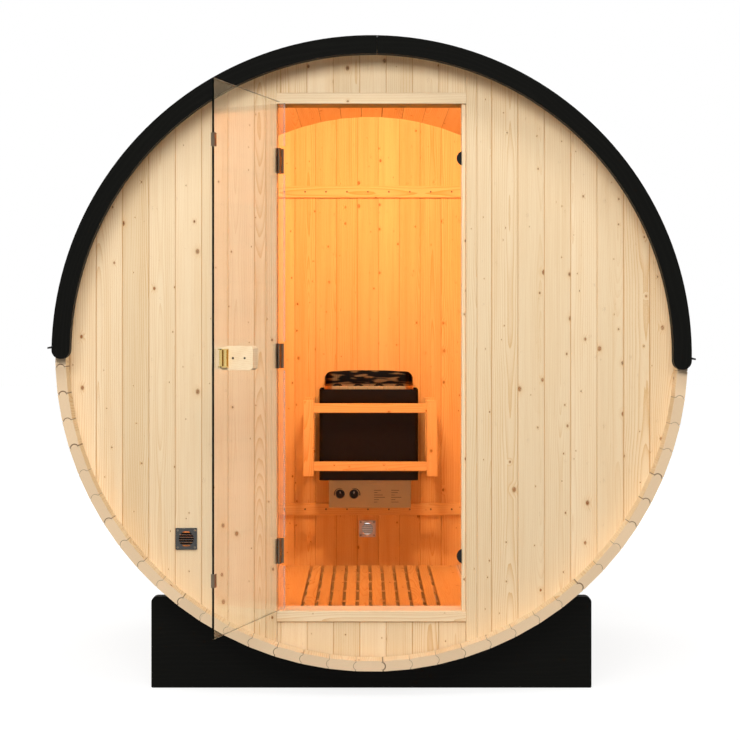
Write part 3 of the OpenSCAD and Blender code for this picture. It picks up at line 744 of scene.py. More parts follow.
def pine(name, grain, colours, ends=True, knots=1.0, contrast=1.0, turn=0.0, painted_shade=None):
    """Planed pine. Year rings are circles about a heart line beside the board that wanders slowly along
    the grain, so that a flat face cuts them into straight lines and arches. Knots are the near points of a
    Voronoi pattern, and the rings bend round them. Each board has its own start from its number."""
    f, g = new_finish(name), PineGrain
    place = f.place()
    if turn:
        place = f.node("ShaderNodeMapping", {"Vector": place, "Rotation": (0.0, 0.0, turn)}).outputs[0]
    if grain == "stave":
        mark, across, depth, along, joint = stave_axes(f, place)
        # Stave joints take a dark colour as painted shade
        joint_colour = shaded(colours.knot, 0.3)
    else:
        mark, across, depth, along = board_axes(f, grain, place)
        joint, joint_colour = f.attribute("seam"), colours.seam
    red, green, blue = f.colour_parts(f.chance(mark, "Color"))
    run = f.line(blue, g.apart_along, along)
    spread = f.line(red, g.apart_across, across)
    trunk = spread, depth, run

    # Knots
    knot_place = f.vector(f.times(spread, g.knot_rates[0]), f.times(run, g.knot_rates[1]), 0.0)
    cells = f.node("ShaderNodeTexVoronoi", {"Vector": knot_place, "Scale": 1.0, "Randomness": 0.95},
                   voronoi_dimensions="2D")
    size_draw, pith_draw, dark_draw = f.colour_parts(cells.outputs["Color"])
    least = f.times(f.maths("GREATER_THAN", size_draw, g.knot_free), g.knot_least)
    knot_size = f.line(f.power(size_draw, 5.0), g.knot_growth, least)
    ratio = f.share(cells.outputs["Distance"], f.maths("MAXIMUM", knot_size, g.knot_floor))
    halo = f.ramp(ratio, 4.0, 0.9)

    # Year rings and fibres
    sway = f.noise(f.vector(f.times(run, g.sway_rate), red, green), roughness=0.45)
    waver = f.noise(f.stretched(trunk, g.waver_rates))
    fibre = f.noise(f.stretched(trunk, g.fibre_rates), detail=3.0, roughness=0.6)
    broad = f.noise(f.stretched(trunk, g.broad_rates))
    aside = f.plus(across, f.centred(red, g.heart_aside))
    below = f.plus(depth, f.plus(f.line(green, *g.heart_below), f.centred(sway, g.heart_sway)))
    reach = f.distance(aside, below)
    bend = f.line(halo, 0.9, f.times(waver, 1.6))
    lines = f.power(f.maths("FRACT", f.plus(f.share(reach, f.line(blue, *g.ring)), bend)), 3.0)
    ringed = f.times(lines, f.line(green, 0.8 * contrast, 0.35 * contrast))
    uneven = f.plus(f.line(fibre, 0.5 * contrast, -0.2 * contrast), f.centred(broad, 0.9 * contrast))
    wood = f.mix(f.plus(ringed, uneven, clamp=True), colours.pine, colours.pine_late)
    tint = f.line(red, *g.tint)
    wood = f.tinted(wood, f.colour(tint, f.line(tint, 1.15, -0.15), f.line(tint, 1.5, -0.5)))

    # Colours of the knots, and painted shade in the board slots and stave joints
    wood = f.mix(f.times(halo, 0.35 * knots), wood, colours.pine_late)
    wood = f.mix(f.times(f.ramp(ratio, 1.5, 0.8), 0.5 * knots), wood, colours.knot)
    pith = f.times(f.ramp(ratio, 0.75, 0.2), f.ramp(pith_draw, 0.35, 0.8))
    dark = f.mix(pith, colours.knot, shaded(colours.knot, 0.12))
    core = f.ramp(f.line(fibre, 0.5, f.minus(ratio, 0.25)), 1.0, 0.7)
    wood = f.mix(f.times(core, f.line(dark_draw, 0.4 * knots, 0.6 * knots)), wood, dark)
    # Points in a board's slot, and the stave joints, are darkened as painted shade
    if grain != "stave":
        joint = f.times(joint, f.line(green, 0.7, 0.3))
    wood = f.mix(joint, wood, joint_colour)

    if ends:
        facing = f.vector_parts(f.node("ShaderNodeNewGeometry").outputs["Normal"])[END_WAY[grain]]
        sawn = f.maths("GREATER_THAN", f.size(facing), g.sawn_facing)
        years = f.power(f.maths("FRACT", f.line(fibre, 0.4, f.share(reach, g.end_ring))), 2.0)
        speck = f.noise(f.vector(f.times(spread, g.speck_rate), f.times(depth, g.speck_rate), red))
        rings = f.plus(f.times(years, 0.35), f.line(speck, 0.6, -0.2), clamp=True)
        end = f.mix(rings, colours.pine_end, tuple(a * b for a, b in zip(colours.pine_end, g.end_late)))
        end = f.tinted(end, f.colour(tint, tint, tint))
        if grain == "stave":
            end = f.mix(joint, end, joint_colour)
        wood = f.mix(sawn, wood, end)
    # A colour multiplied in as painted shade, darkening the wood where a shadow falls
    if painted_shade:
        wood = f.tinted(wood, painted_shade)
    height = f.plus(f.times(fibre, 0.6), f.times(lines, 0.3))
    return f.surface(base_color=wood, roughness=f.line(fibre, 0.22, 0.46),
                     normal=f.bump(height, strength=0.25, distance=0.0006), specular_ior_level=0.3)


class Rates:
    """How often the patterns of the other finishes change in a metre: one rate for all ways, or three."""

    stain_fibre = (260.0, 260.0, 6.0)
    stain_slow = (14.0, 14.0, 2.2)
    stain_lines = 75.0
    peel = 700.0
    paint_slow = 9.0
    brush = (13.5, 900.0, 900.0)
    metal_slow = (11.0, 11.0, 11.0)
    reflection_streaks = (13.0, 13.0, 85.0)
    liner_brush = (700.0, 700.0, 12.0)
    mineral = 520.0
    roof_patches = 7.0
    smear = 5.0
    cloud = 40.0


def stained(name, grain, colours):
    """Black stained timber: the grain shows as faint paler streaks, and the sheen is uneven.
    The grain runs along X, or round the barrel's axis."""
    f = new_finish(name)
    x, y, z = f.vector_parts(f.place())
    timber = z, y, x
    if grain == "round":
        up = f.minus(z, AXIS_Z)
        timber = f.distance(x, up), y, f.times(f.maths("ARCTAN2", x, up), WALL_R)
    fibre = f.noise(f.stretched(timber, Rates.stain_fibre), detail=4.0, roughness=0.65)
    slow = f.noise(f.stretched(timber, Rates.stain_slow))
    phase = f.line(timber[0], Rates.stain_lines, f.times(slow, 5.0))
    wave = f.maths("SINE", f.times(phase, 2 * math.pi))
    lines = f.power(f.line(wave, 0.5, 0.5), 3.0)
    streaks = f.plus(f.times(lines, 0.4), f.times(fibre, 0.8), clamp=True)
    colour = f.mix(streaks, shaded(colours.stain, 0.45), shaded(colours.stain, 1.5))
    height = f.line(fibre, 0.7, f.times(lines, 0.3))
    return f.surface(base_color=colour, roughness=f.line(fibre, 0.3, 0.42),
                     normal=f.bump(height, strength=0.35, distance=0.0007), specular_ior_level=0.08)


def enamel(name, colour, rough, sheen):
    """Painted sheet or moulded plastic: fine peel in the bump, slow changes in colour and sheen."""
    f = new_finish(name)
    peel = f.noise(f.place(), Rates.peel)
    slow = f.noise(f.place(), Rates.paint_slow, detail=3.0)
    return f.surface(base_color=f.mix(slow, shaded(colour, 0.88), shaded(colour, 1.12)),
                     roughness=f.line(slow, 0.2, rough - 0.1),
                     normal=f.bump(peel, strength=0.06, distance=0.0004), specular_ior_level=sheen)


def brushed(name, colour, rough, along):
    """Brushed metal: noise drawn out along one way drives colour, sheen and bump."""
    f = new_finish(name)
    x, y, z = f.vector_parts(f.place())
    ways = {"X": (x, y, z), "Z": (z, x, y)}
    brush = f.noise(f.stretched(ways[along], Rates.brush), detail=3.0)
    slow = f.noise(f.stretched((x, y, z), Rates.metal_slow))
    tone = f.line(brush, 0.6, f.times(slow, 0.4))
    return f.surface(base_color=f.mix(tone, shaded(colour, 0.82), shaded(colour, 1.15)), metallic=1.0,
                     roughness=f.line(brush, 0.2, rough - 0.1),
                     normal=f.bump(brush, strength=0.08, distance=0.0003))


# Where the painted dark reflection begins over the lip and where it is full, and the waver of that line, in
# metres
DARK_FROM, DARK_FULL, DARK_WAVER = 0.001, 0.006, 0.004
# How fast the streaks of painted orange reflection thin out, per metre over the lip
STREAK_THINNING = -2.4


def liner_with_painted_reflections(name, bright, dark_reflection, orange_reflection):
    """Sheet steel with painted light: the lip's colour is the lamp's orange as painted light, above it the
    steel is painted dark for dark reflections, with streaks of painted orange reflection that thin out
    upwards."""
    f = new_finish(name)
    x, y, z = f.vector_parts(f.place())
    patch = f.noise(f.stretched((x, y, z), Rates.reflection_streaks), detail=1.0)
    brush = f.noise(f.stretched((x, y, z), Rates.liner_brush))
    streak = f.line(f.minus(z, LIP_TOP), STREAK_THINNING, patch)
    tone = f.mix(f.ramp(streak, 0.44, 0.58), dark_reflection, orange_reflection)
    share = f.ramp(f.line(patch, DARK_WAVER, z), LIP_TOP + DARK_FROM, LIP_TOP + DARK_FULL)
    return f.surface(base_color=f.mix(share, bright, tone), metallic=0.9, roughness=f.line(brush, 0.2, 0.2),
                     normal=f.bump(brush, strength=0.06, distance=0.0003))


def granules(name, colours):
    """Mineral-faced roofing: grains of differing shades, each tab a little lighter or darker."""
    f = new_finish(name)
    grains = f.node("ShaderNodeTexVoronoi", {"Vector": f.place(), "Scale": Rates.mineral})
    grey = f.colour_parts(grains.outputs["Color"])[0]
    patch = f.noise(f.place(), Rates.roof_patches, detail=3.0)
    tab = f.line(f.chance(f.attribute("board")), 0.5, f.line(patch, 0.5, -0.4))
    shade = f.plus(f.line(grey, 0.9, 0.3), tab)
    return f.surface(base_color=f.tinted(colours.roofing, f.colour(shade, shade, shade)), roughness=0.92,
                     normal=f.bump(grains.outputs["Distance"], strength=0.5, distance=0.0006),
                     specular_ior_level=0.2)


# The glass: its index of refraction, how much of the mirrored light shows, and the tint of what passes
GLASS_INDEX, GLASS_MIRROR, GLASS_TINT = 1.45, 0.2, (1.0, 1.0, 0.99)


def clear_glass(name):
    """A pane that lets light straight through and mirrors more towards grazing angles."""
    f = new_finish(name)
    smear = f.noise(f.place(), Rates.smear)
    mirrored = f.times(f.node("ShaderNodeFresnel", {"IOR": GLASS_INDEX}).outputs[0], GLASS_MIRROR)
    pane = f.node("ShaderNodeBsdfTransparent", {"Color": GLASS_TINT})
    mirror = f.node("ShaderNodeBsdfGlossy", {"Color": WHITE, "Roughness": f.line(smear, 0.04, 0.06)})
    return f.done(f.node("ShaderNodeMixShader", {0: mirrored, 1: pane.outputs[0], 2: mirror.outputs[0]}))


def soft_plastic(name, colour, alpha):
    """Clear plastic that shows what is behind it, a little cloudy."""
    f = new_finish(name)
    cloud = f.noise(f.place(), Rates.cloud)
    return f.surface(base_color=f.mix(cloud, shaded(colour, 0.92), colour), roughness=0.3, alpha=alpha)


# Operators

# Colour, roughness and sheen
PAINTS = {
    "heater enamel": (linear(15, 11, 8), 0.55, 0.25),
    "black paint": (linear(24, 24, 24), 0.38, 0.5),
    "black plastic": (linear(11, 11, 11), 0.5, 0.25),
    "glass edge": (linear(4, 6, 4), 0.5, 0.04),
    "scale print": (linear(28, 24, 20), 0.6, 0.5),
    "pointer white": (linear(225, 222, 214), 0.5, 0.5),
}
# Colour, roughness and the way of the brush
METALS = {
    "control steel": (linear(172, 162, 122), 0.55, "X"),
    "band steel": (linear(176, 176, 174), 0.35, "Z"),
    "hinge steel": (linear(112, 98, 82), 0.34, "Z"),
    # The two vents are one steel: the front vent's dark copy is painted dark reflection, the back vent's pale
    # copy is painted light
    "vent steel": (linear(74, 74, 72), 0.2, "X"),
    "bright steel": (linear(190, 182, 170), 0.4, "X"),
    "nail steel": (linear(132, 124, 112), 0.32, "X"),
    "screw steel": (linear(92, 82, 70), 0.32, "X"),
    "element steel": (linear(58, 54, 50), 0.4, "Z"),
    "brass": (linear(206, 166, 86), 0.26, "Z"),
}
# Colour and how much it hides
PLASTICS = {
    "glass rim": (linear(70, 74, 56), 0.5),
    "seal clear": ((0.9, 0.84, 0.78), 0.05),
    "seal lip": ((0.60, 0.46, 0.42), 0.3),
}
# The solids that wear each finish
WORN = {
    "stave pine": ("bottom_staves", "left_staves", "right_staves", "top_staves"),
    "upright pine": ("front_wall_left", "front_wall_right", "front_wall_top", "front_wall_bottom",
                     "back_wall", "door_post_left", "door_post_right", "door_stop", "guard_posts"),
    "crosswise pine": ("back_wall_battens", "door_head", "door_sill", "floor_joists", "guard_front_rails"),
    "lengthwise pine": ("floor_slats", "guard_side_rails"),
    "handle pine": ("handle_block",),
    "black stain along": ("front_cradle", "rear_cradle"),
    "black stain round": ("front_arc_left", "front_arc_right", "rear_arc_left", "rear_arc_right"),
    "roof granules": ("roof_cover",),
    "heater enamel": ("heater_case",),
    "black paint": ("roof_drips",),
    "hinge steel": ("hinge_brackets", "hinge_clamps", "glass_clips"),
    "black plastic": ("door_catches", "thermostat_knob", "timer_knob"),
    # Front vent: painted dark reflection; back vent: painted light
    "vent steel": ("front_vent",),
    "bright steel": ("back_vent",),
    "control steel": ("heater_control",),
    "band steel": ("barrel_bands",),
    "liner steel": ("heater_shield",),
    "element steel": ("heater_elements",),
    "brass": ("roller_catch",),
    "clear glass": ("door_glass",),
}


class SAUNA_OT_finishes(bpy.types.Operator):
    """Makes every finish and puts one on each solid of the frame"""

    bl_idname = "sauna.finishes"
    bl_label = "Finishes"

    def execute(self, context):
        colours = context.scene.sauna_colours
        pine("stave pine", "stave", colours)
        pine("upright pine", "Z", colours)
        pine("room pine", "Z", colours, knots=0.75, contrast=1.6)
        pine("crosswise pine", "X", colours, knots=0.8)
        # The door head's underside: crosswise pine darkened as painted shade
        pine("painted shade pine", "X", colours, knots=0.8, painted_shade=(0.36, 0.34, 0.14))
        pine("lengthwise pine", "Y", colours, knots=0.7)
        pine("handle pine", "X", colours, knots=0.3, turn=OPEN_TURN, ends=False)
        stained("black stain along", "X", colours)
        stained("black stain round", "round", colours)
        granules("roof granules", colours)
        # The liner's lip colour is painted orange light; its dark and bronze colours are painted reflections
        liner_with_painted_reflections("liner steel", linear(200, 158, 104), linear(30, 22, 16), linear(150, 112, 70))
        clear_glass("clear glass")
        for make, looks in ((enamel, PAINTS), (brushed, METALS), (soft_plastic, PLASTICS)):
            for name, look in looks.items():
                make(name, *look)
        for name, nodes in WORN.items():
            for node in nodes:
                slots = frame["nodes"][node].data.materials
                slots.clear()
                slots.append(bpy.data.materials[name])
        return {"FINISHED"}


# Half of the square patch round a vent's hole and the hole's radius, in metres
VENT_HOLE = (0.027, 0.0247)


class SAUNA_OT_front_wall(bpy.types.Operator):
    """Upright tongue-and-groove boards of the front wall, over, under and beside the door"""

    bl_idname = "sauna.front_wall"
    bl_label = "Front wall boards"

    def execute(self, context):
        s = context.scene.sauna_sizes
        radius = WALL_R - WALL_FIT
        edge = radius - WALL_SIDE_FIT
        low, high = circle(radius, LOWER), circle(radius, UPPER)
        over, under = level(HEAD_HI[2]), level(SILL_LO[2])
        hole = (middle("front_vent"), *VENT_HOLE)
        set_back = WALL_FRONT + s.sill_nosing
        sides = {
            "left": (-edge, -POST_OUT, WALL_FRONT, low, high, hole),
            "right": (POST_OUT, edge, WALL_FRONT, low, high, None),
            "top": (-POST_IN, POST_IN, WALL_FRONT, over, high, None),
            "bottom": (-POST_IN, POST_IN, set_back, low, under, None),
        }
        for k, (side, (x0, x1, front, lower, upper, gap)) in enumerate(sides.items()):
            lot = boards(x0, x1, front, WALL_BACK, lower, upper, s.front_pitch, s.front_seam,
                         FRONT_BOARDS + FRONT_FIELD * k, gap)
            lot.make("front_boards_" + side, "cabin", "pine", ["upright pine"], ["front_wall_" + side])
        return {"FINISHED"}


# Battens in metres: ease of their ends, and how far the outer nails keep from the staves
BATTEN_END, NAIL_MARGIN = 0.001, 0.03


class SAUNA_OT_back_wall(bpy.types.Operator):
    """Upright boards of the back wall, with the two battens and a nail in each board"""

    bl_idname = "sauna.back_wall"
    bl_label = "Back wall boards"

    def execute(self, context):
        s, m = context.scene.sauna_sizes, SaunaMeasures
        radius = WALL_R - WALL_FIT
        edge = radius - WALL_SIDE_FIT
        lot = boards(-edge, edge, BACK_LO[1], BACK_HI[1], circle(radius, LOWER), circle(radius, UPPER),
                     s.back_pitch, s.back_seam, BACK_BOARDS, (middle("back_vent"), *VENT_HOLE))
        lot.make("back_boards", "cabin", "pine", ["room pine"], ["back_wall"])

        def ends(section):
            """Where a batten meets the staves on the left and on the right."""
            reach = half_width(m.inside, section[:, 1]) - STAVE_FIT
            return -reach, reach

        battens, nails = Lot(), Lot()
        eases = (s.ease, 0, 0, s.ease)
        count = math.ceil(m.inside / s.back_pitch)
        middles = s.back_seam + s.back_pitch * (np.arange(-count, count) + 0.5)
        for k, foot in enumerate((BATTEN_LO[2], BATTEN_HI[2] - m.batten_rise)):
            low, high = (0, BATTEN_LO[1], foot), (0, BATTEN_HI[1], foot + m.batten_rise)
            battens.add(bar("X", low, high, eases, BATTEN_END, ends), BATTENS + k)
            height = foot + m.batten_rise / 2
            for x in middles[np.abs(middles) < half_width(m.inside, height) - NAIL_MARGIN]:
                nails.add(nail_head((x, BATTEN_LO[1], height), (0, -1, 0), s.nail))
        battens.make("battens", "cabin", "pine", ["crosswise pine"], ["back_wall_battens"])
        nails.make("batten_nails", "cabin", "steel", ["nail steel"])
        return {"FINISHED"}


# Eased edges of the stop strip in metres: the two at the opening, and the front one beside the post
STOP_EASE, STOP_JOINT = 0.0015, 0.003
# A face whose normal falls below this looks down; the door head's downward faces take the painted shade
LOOKS_DOWN = -0.9


class SAUNA_OT_door_frame(bpy.types.Operator):
    """Door posts, head, sill and stop strip with eased edges"""

    bl_idname = "sauna.door_frame"
    bl_label = "Door frame"

    def execute(self, context):
        e = context.scene.sauna_sizes.ease
        wall, inside = WALL_R - POST_FIT, SaunaMeasures.inside - POST_FIT

        def wall_ends(section):
            """Where the outer half of a post meets the walls' outline, below and above."""
            return circle(wall, LOWER)(section[:, 0]), circle(wall, UPPER)(section[:, 0])

        def room_ends(section):
            """The inner half stands on the floor and reaches up to the staves."""
            return np.full(len(section), SLATS_HI[2]), circle(inside, UPPER)(section[:, 0])

        posts = (("door_post_left", -POST_OUT, -POST_IN), ("door_post_right", POST_IN, POST_OUT))
        for number, (node, x0, x1) in enumerate(posts, DOOR_POSTS):
            lot = Lot()
            lot.add(bar("Z", (x0, WALL_FRONT, 0), (x1, WALL_BACK, 0), (e, e, 0, 0), 0, wall_ends), number)
            lot.add(bar("Z", (x0, WALL_BACK, 0), (x1, FRAME_BACK, 0), (0, 0, e, e), 0, room_ends), number)
            lot.make(node + "_planed", "cabin", "pine", ["upright pine"], [node])
        head = Lot().add(bar("X", HEAD_LO, HEAD_HI, e), DOOR_HEAD)
        pines = ["crosswise pine", "painted shade pine"]
        piece = head.make("door_head_planed", "cabin", "pine", pines, ["door_head"])
        # The head's downward faces wear the painted shade finish
        finish_faces(piece, face_normals(piece)[:, 2] < LOOKS_DOWN)
        sill = Lot().add(bar("X", SILL_LO, SILL_HI, e), DOOR_SILL)
        sill.make("door_sill_planed", "cabin", "pine", ["crosswise pine"], ["door_sill"])
        stop = Lot().add(bar("Z", *span("door_stop"), (STOP_EASE, STOP_JOINT, 0, STOP_EASE)), DOOR_STOP)
        stop.make("door_stop_planed", "cabin", "pine", ["upright pine"], ["door_stop"])
        return {"FINISHED"}


# Ease of the ends of the slats and of the guard's posts, in metres
SLAT_END, GUARD_END = 0.0015, 0.0018
# Where the middle of an eased edge lies, as a share of the ease
EASE_MIDDLE = 0.3


class SAUNA_OT_floor_boards(bpy.types.Operator):
    """Narrow floor slats with eased edges, and the two side boards fitted to the staves"""

    bl_idname = "sauna.floor_boards"
    bl_label = "Floor boards"

    def execute(self, context):
        ease, m = context.scene.sauna_sizes.ease, SaunaMeasures
        (y0, z0), (y1, z1) = SLATS_LO[1:], SLATS_HI[1:]
        lot = Lot()
        pitch = m.slat + m.slat_gap
        first = -m.slat_count * pitch / 2 + m.slat_gap / 2
        for k in range(m.slat_count):
            x = first + k * pitch
            slat = bar("Y", (x, y0, z0), (x + m.slat, y1, z1), (0, ease, ease, 0), SLAT_END)
            lot.add(slat, FLOOR_SLATS + k)
        inner = m.slat_count * pitch / 2 + m.slat_gap / 2
        lower, upper = (half_width(m.inside, z) - STAVE_FIT for z in (z0, z1))
        part = EASE_MIDDLE * ease
        section = np.array([(inner, z0), (lower, z0), (upper, z1),
                            (inner + ease, z1), (inner + part, z1 - part), (inner, z1 - ease)])
        for number, outline in enumerate((section[::-1], section * (-1, 1)), FLOOR_SIDES):
            rings = [np.insert(outline, 1, y, axis=1) for y in (y0, y1)]
            lot.add(swept(np.stack(rings)), number)
        lot.make("floor_boards", "cabin", "pine", ["lengthwise pine"], ["floor_slats"])
        return {"FINISHED"}


class SAUNA_OT_heater_guard(bpy.types.Operator):
    """Posts and rails of the guard round the heater, with eased edges"""

    bl_idname = "sauna.heater_guard"
    bl_label = "Heater guard"

    def execute(self, context):
        e, m = context.scene.sauna_sizes.ease, SaunaMeasures
        posts = Lot()
        for i, x in enumerate((POSTS_LO[0], POSTS_HI[0] - m.guard_post)):
            for j, y in enumerate((POSTS_LO[1], POSTS_HI[1] - m.guard_post)):
                low, high = (x, y, POSTS_LO[2]), (x + m.guard_post, y + m.guard_post, POSTS_HI[2])
                posts.add(bar("Z", low, high, e, GUARD_END), GUARD_POSTS + 2 * i + j)
        posts.make("guard_posts_planed", "cabin", "pine", ["upright pine"], ["guard_posts"])
        rails = (("guard_front_rails", "X", "crosswise pine", GUARD_FRONT),
                 ("guard_side_rails", "Y", "lengthwise pine", GUARD_SIDES))
        for node, axis, finish, mark in rails:
            low, high = span(node)
            heights = ((low[2], low[2] + m.rail_rise), (high[2] - m.rail_rise, high[2]))
            widths = ((low[0], high[0]),)
            if axis == "Y":
                widths = ((low[0], low[0] + m.rail_thick), (high[0] - m.rail_thick, high[0]))
            lot = Lot()
            for k, (z0, z1) in enumerate(heights):
                for i, (x0, x1) in enumerate(widths):
                    lot.add(bar(axis, (x0, low[1], z0), (x1, high[1], z1), e), mark + 2 * k + i)
            lot.make(node + "_planed", "cabin", "pine", [finish], [node])
        return {"FINISHED"}


class Roofing:
    """How the roofing is laid: lengths in metres, angles about the barrel's axis in radians."""

    thick = 0.0015
    underlay = 0.0001  # thickness of the underlay
    underlay_drop = 0.0029  # how far it lies below the roof's outer face
    underlay_points = 121
    lower_drop = 0.0001  # how far a tab's lower and upper edge lie below that face
    upper_drop = 0.0014
    tab_points = 9
    narrowest = 0.02  # no tab is narrower
    lap = 0.045  # how far a tab runs on under the next course
    ridge_gap = 0.004  # room that the last course keeps to the ridge
    caps = 12
    cap_lap = 1.18  # a cap's length as a share of what shows of it
    cap_half = 0.125
    cap_fall = 0.0004  # how far a cap's covered end lies lower


class SAUNA_OT_roof_shingles(bpy.types.Operator):
    """Courses of roofing tabs laid on an underlay from the eaves up, with a row of caps along the ridge"""

    bl_idname = "sauna.roof_shingles"
    bl_label = "Roof shingles"

    def execute(self, context):
        s, m, r = context.scene.sauna_sizes, SaunaMeasures, Roofing
        out = m.roof_out
        y0, y1 = ROOF_LO[1], ROOF_HI[1]
        eaves = math.radians(m.roof_eaves)
        rows = int(round(eaves * out / s.course))
        step = eaves / rows

        def sheet(angles, ys, radii, depth=r.thick):
            """Upper and lower points of a tab: each angle from the roof's middle has its radius."""
            turn = np.asarray(angles)[:, None] + math.radians(m.roof_turn) + np.zeros(len(ys))
            y = np.zeros(len(angles))[:, None] + np.asarray(ys)

            def at(radius):
                far = radius[:, None] + np.zeros(len(ys))
                return np.stack([far * np.sin(turn), y, AXIS_Z + far * np.cos(turn)], 2)

            return at(radii), at(radii - depth)

        def tab_edges(row):
            """Where the tabs of a row begin and end: every other row is moved by half a tab."""
            offset = (row % 2) * s.tab / 2
            edges = np.clip(np.arange(y0 - offset, y1 + s.tab, s.tab), y0, y1)
            edges = edges[np.concatenate([[True], np.diff(edges) > r.narrowest])]
            edges[-1] = y1
            return edges

        under = np.linspace(-eaves, eaves, r.underlay_points)
        under_radii = np.full(r.underlay_points, out - r.underlay_drop)
        lot = Lot().add(closed_sheet(*sheet(under, (y1, y0), under_radii, r.underlay)), UNDERLAY)
        number = SHINGLES
        radii = np.linspace(out - r.lower_drop, out - r.upper_drop, r.tab_points)
        for side in (-1, 1):
            for row in range(rows):
                low = eaves - row * step
                high = max(eaves - (row + 1) * step - r.lap, r.ridge_gap)
                angles = side * np.linspace(low, high, r.tab_points)
                edges = tab_edges(row)
                for a, b in zip(edges[:-1], edges[1:]):
                    ys = (a if a == y0 else a + s.slot / 2, b if b == y1 else b - s.slot / 2)
                    lot.add(closed_sheet(*sheet(angles, ys[::-side], radii)), number)
                    number += 1
        length = (y1 - y0) / r.caps
        angles = np.linspace(-r.cap_half, r.cap_half, r.tab_points)
        for k in range(r.caps):
            start = y0 + k * length
            stop = start + length * (1.0 if k == r.caps - 1 else r.cap_lap)
            top, bottom = sheet(angles, (stop, start), np.full(r.tab_points, out))
            top[:, 0, 2] -= r.cap_fall
            lot.add(closed_sheet(top, bottom), number + k)
        lot.make("roof_shingles", "cabin", "roofing", ["roof granules"], ["roof_cover"])
        return {"FINISHED"}


class DoorTrim:
    """Sizes of the pane's edges, the seal and the handle's screws, in metres."""

    pane_ease = 0.0006
    seal_gap = 0.042  # half of the gap that the seal leaves at a hinge
    seal_foot = 0.004  # room over the pane's lower edge and under the door head
    seal_head = 0.001
    seal_near = 0.0002  # the seal's two faces, from the pane's hinge edge
    seal_far = 0.0016
    seal_ease = 0.0004
    seal_body = 0.0115  # where the clear body and the cloudy lip end, from the pane's face
    seal_lip = 0.0165
    screws = (0.036, 0.069)  # from the handle block's front


# Faces of the pane by their normals: how square a flat face is to the pane, how far an edge looks
# to the hinge side, and how far it looks up or down
PANE_FLAT, PANE_HINGE_SIDE, PANE_ENDS = 0.98, -0.5, 0.5


class SAUNA_OT_glass_door(bpy.types.Operator):
    """The pane with its dark edges, the clear seal along the hinge side and the screws of the handle"""

    bl_idname = "sauna.glass_door"
    bl_label = "Glass door"

    def execute(self, context):
        t = DoorTrim
        low, high = closed_box("door_glass")
        pane = Lot().add(opened(bar("Z", low, high, t.pane_ease, t.pane_ease)))
        glasses = ["clear glass", "glass edge", "glass rim"]
        piece = pane.make("door_pane", "door", "glass", glasses, ["door_glass"])
        normals = face_normals(piece)
        c, s = math.cos(OPEN_TURN), math.sin(OPEN_TURN)
        thin = (np.abs(normals @ (s, c, 0.0)) < PANE_FLAT) & (normals @ (c, -s, 0.0) > PANE_HINGE_SIDE)
        rim = glasses.index("glass rim")
        finish_faces(piece, np.where(np.abs(normals[:, 2]) > PANE_ENDS, rim, thin))

        half = SaunaMeasures.clamp_half
        foot, top = (corner[2] for corner in closed_box("hinge_clamps"))
        clamps = np.array([foot + half, (foot + top) / 2, top - half])
        gaps = np.stack([clamps - t.seal_gap, clamps + t.seal_gap], 1).ravel()
        stops = np.concatenate([[low[2] + t.seal_foot], gaps, [HEAD_LO[2] - t.seal_head]])
        near, far = low[0] + t.seal_near, low[0] + t.seal_far
        seal = Lot()
        for z0, z1 in stops.reshape(-1, 2):
            for finish, (y0, y1) in enumerate(((0.0, t.seal_body), (t.seal_body, t.seal_lip))):
                strip = bar("Z", (near, high[1] + y0, z0), (far, high[1] + y1, z1), t.seal_ease)
                seal.add(opened(strip), finish=finish)
        seal.make("door_seal", "door", "glass", ["seal clear", "seal lip"])

        block_low, block_high = closed_box("handle_block")
        screws = Lot()
        for inset in t.screws:
            centre = (block_high[0], block_low[1] + inset, (block_low[2] + block_high[2]) / 2)
            screws.add(opened(screw(centre, (1, 0, 0), context.scene.sauna_sizes.handle_screw)))
        screws.make("handle_screws", "door", "steel", ["screw steel"])
        return {"FINISHED"}


class HeaterPrint:
    """Sizes of the printed marks in metres, and shares of the control box."""

    half = 0.0002  # half of the print's thickness
    scale_gap = 0.0032  # between a knob and its scale
    scale_least = 0.0012  # width of a scale at its thin end, and how much it grows
    scale_growth = 0.003
    scale_points = 25
    pointer_half = 0.0007
    pointer_from = 0.003  # a pointer's two ends, from the knob's middle
    pointer_to = 0.011
    pointer_proud = 0.0001
    pointer_sunk = 0.0004
    ease = 0.0001
    columns = (0.55, 0.76)  # where the columns of dashes start, as shares of the box's width
    rows = 6
    first_row = 0.2  # shares of the box's height
    row_pitch = 0.085
    dash_least = 0.03  # shares of the box's width
    dash_growth = 0.13
    dash_size = (0.0003, 0.0016)  # thickness and height


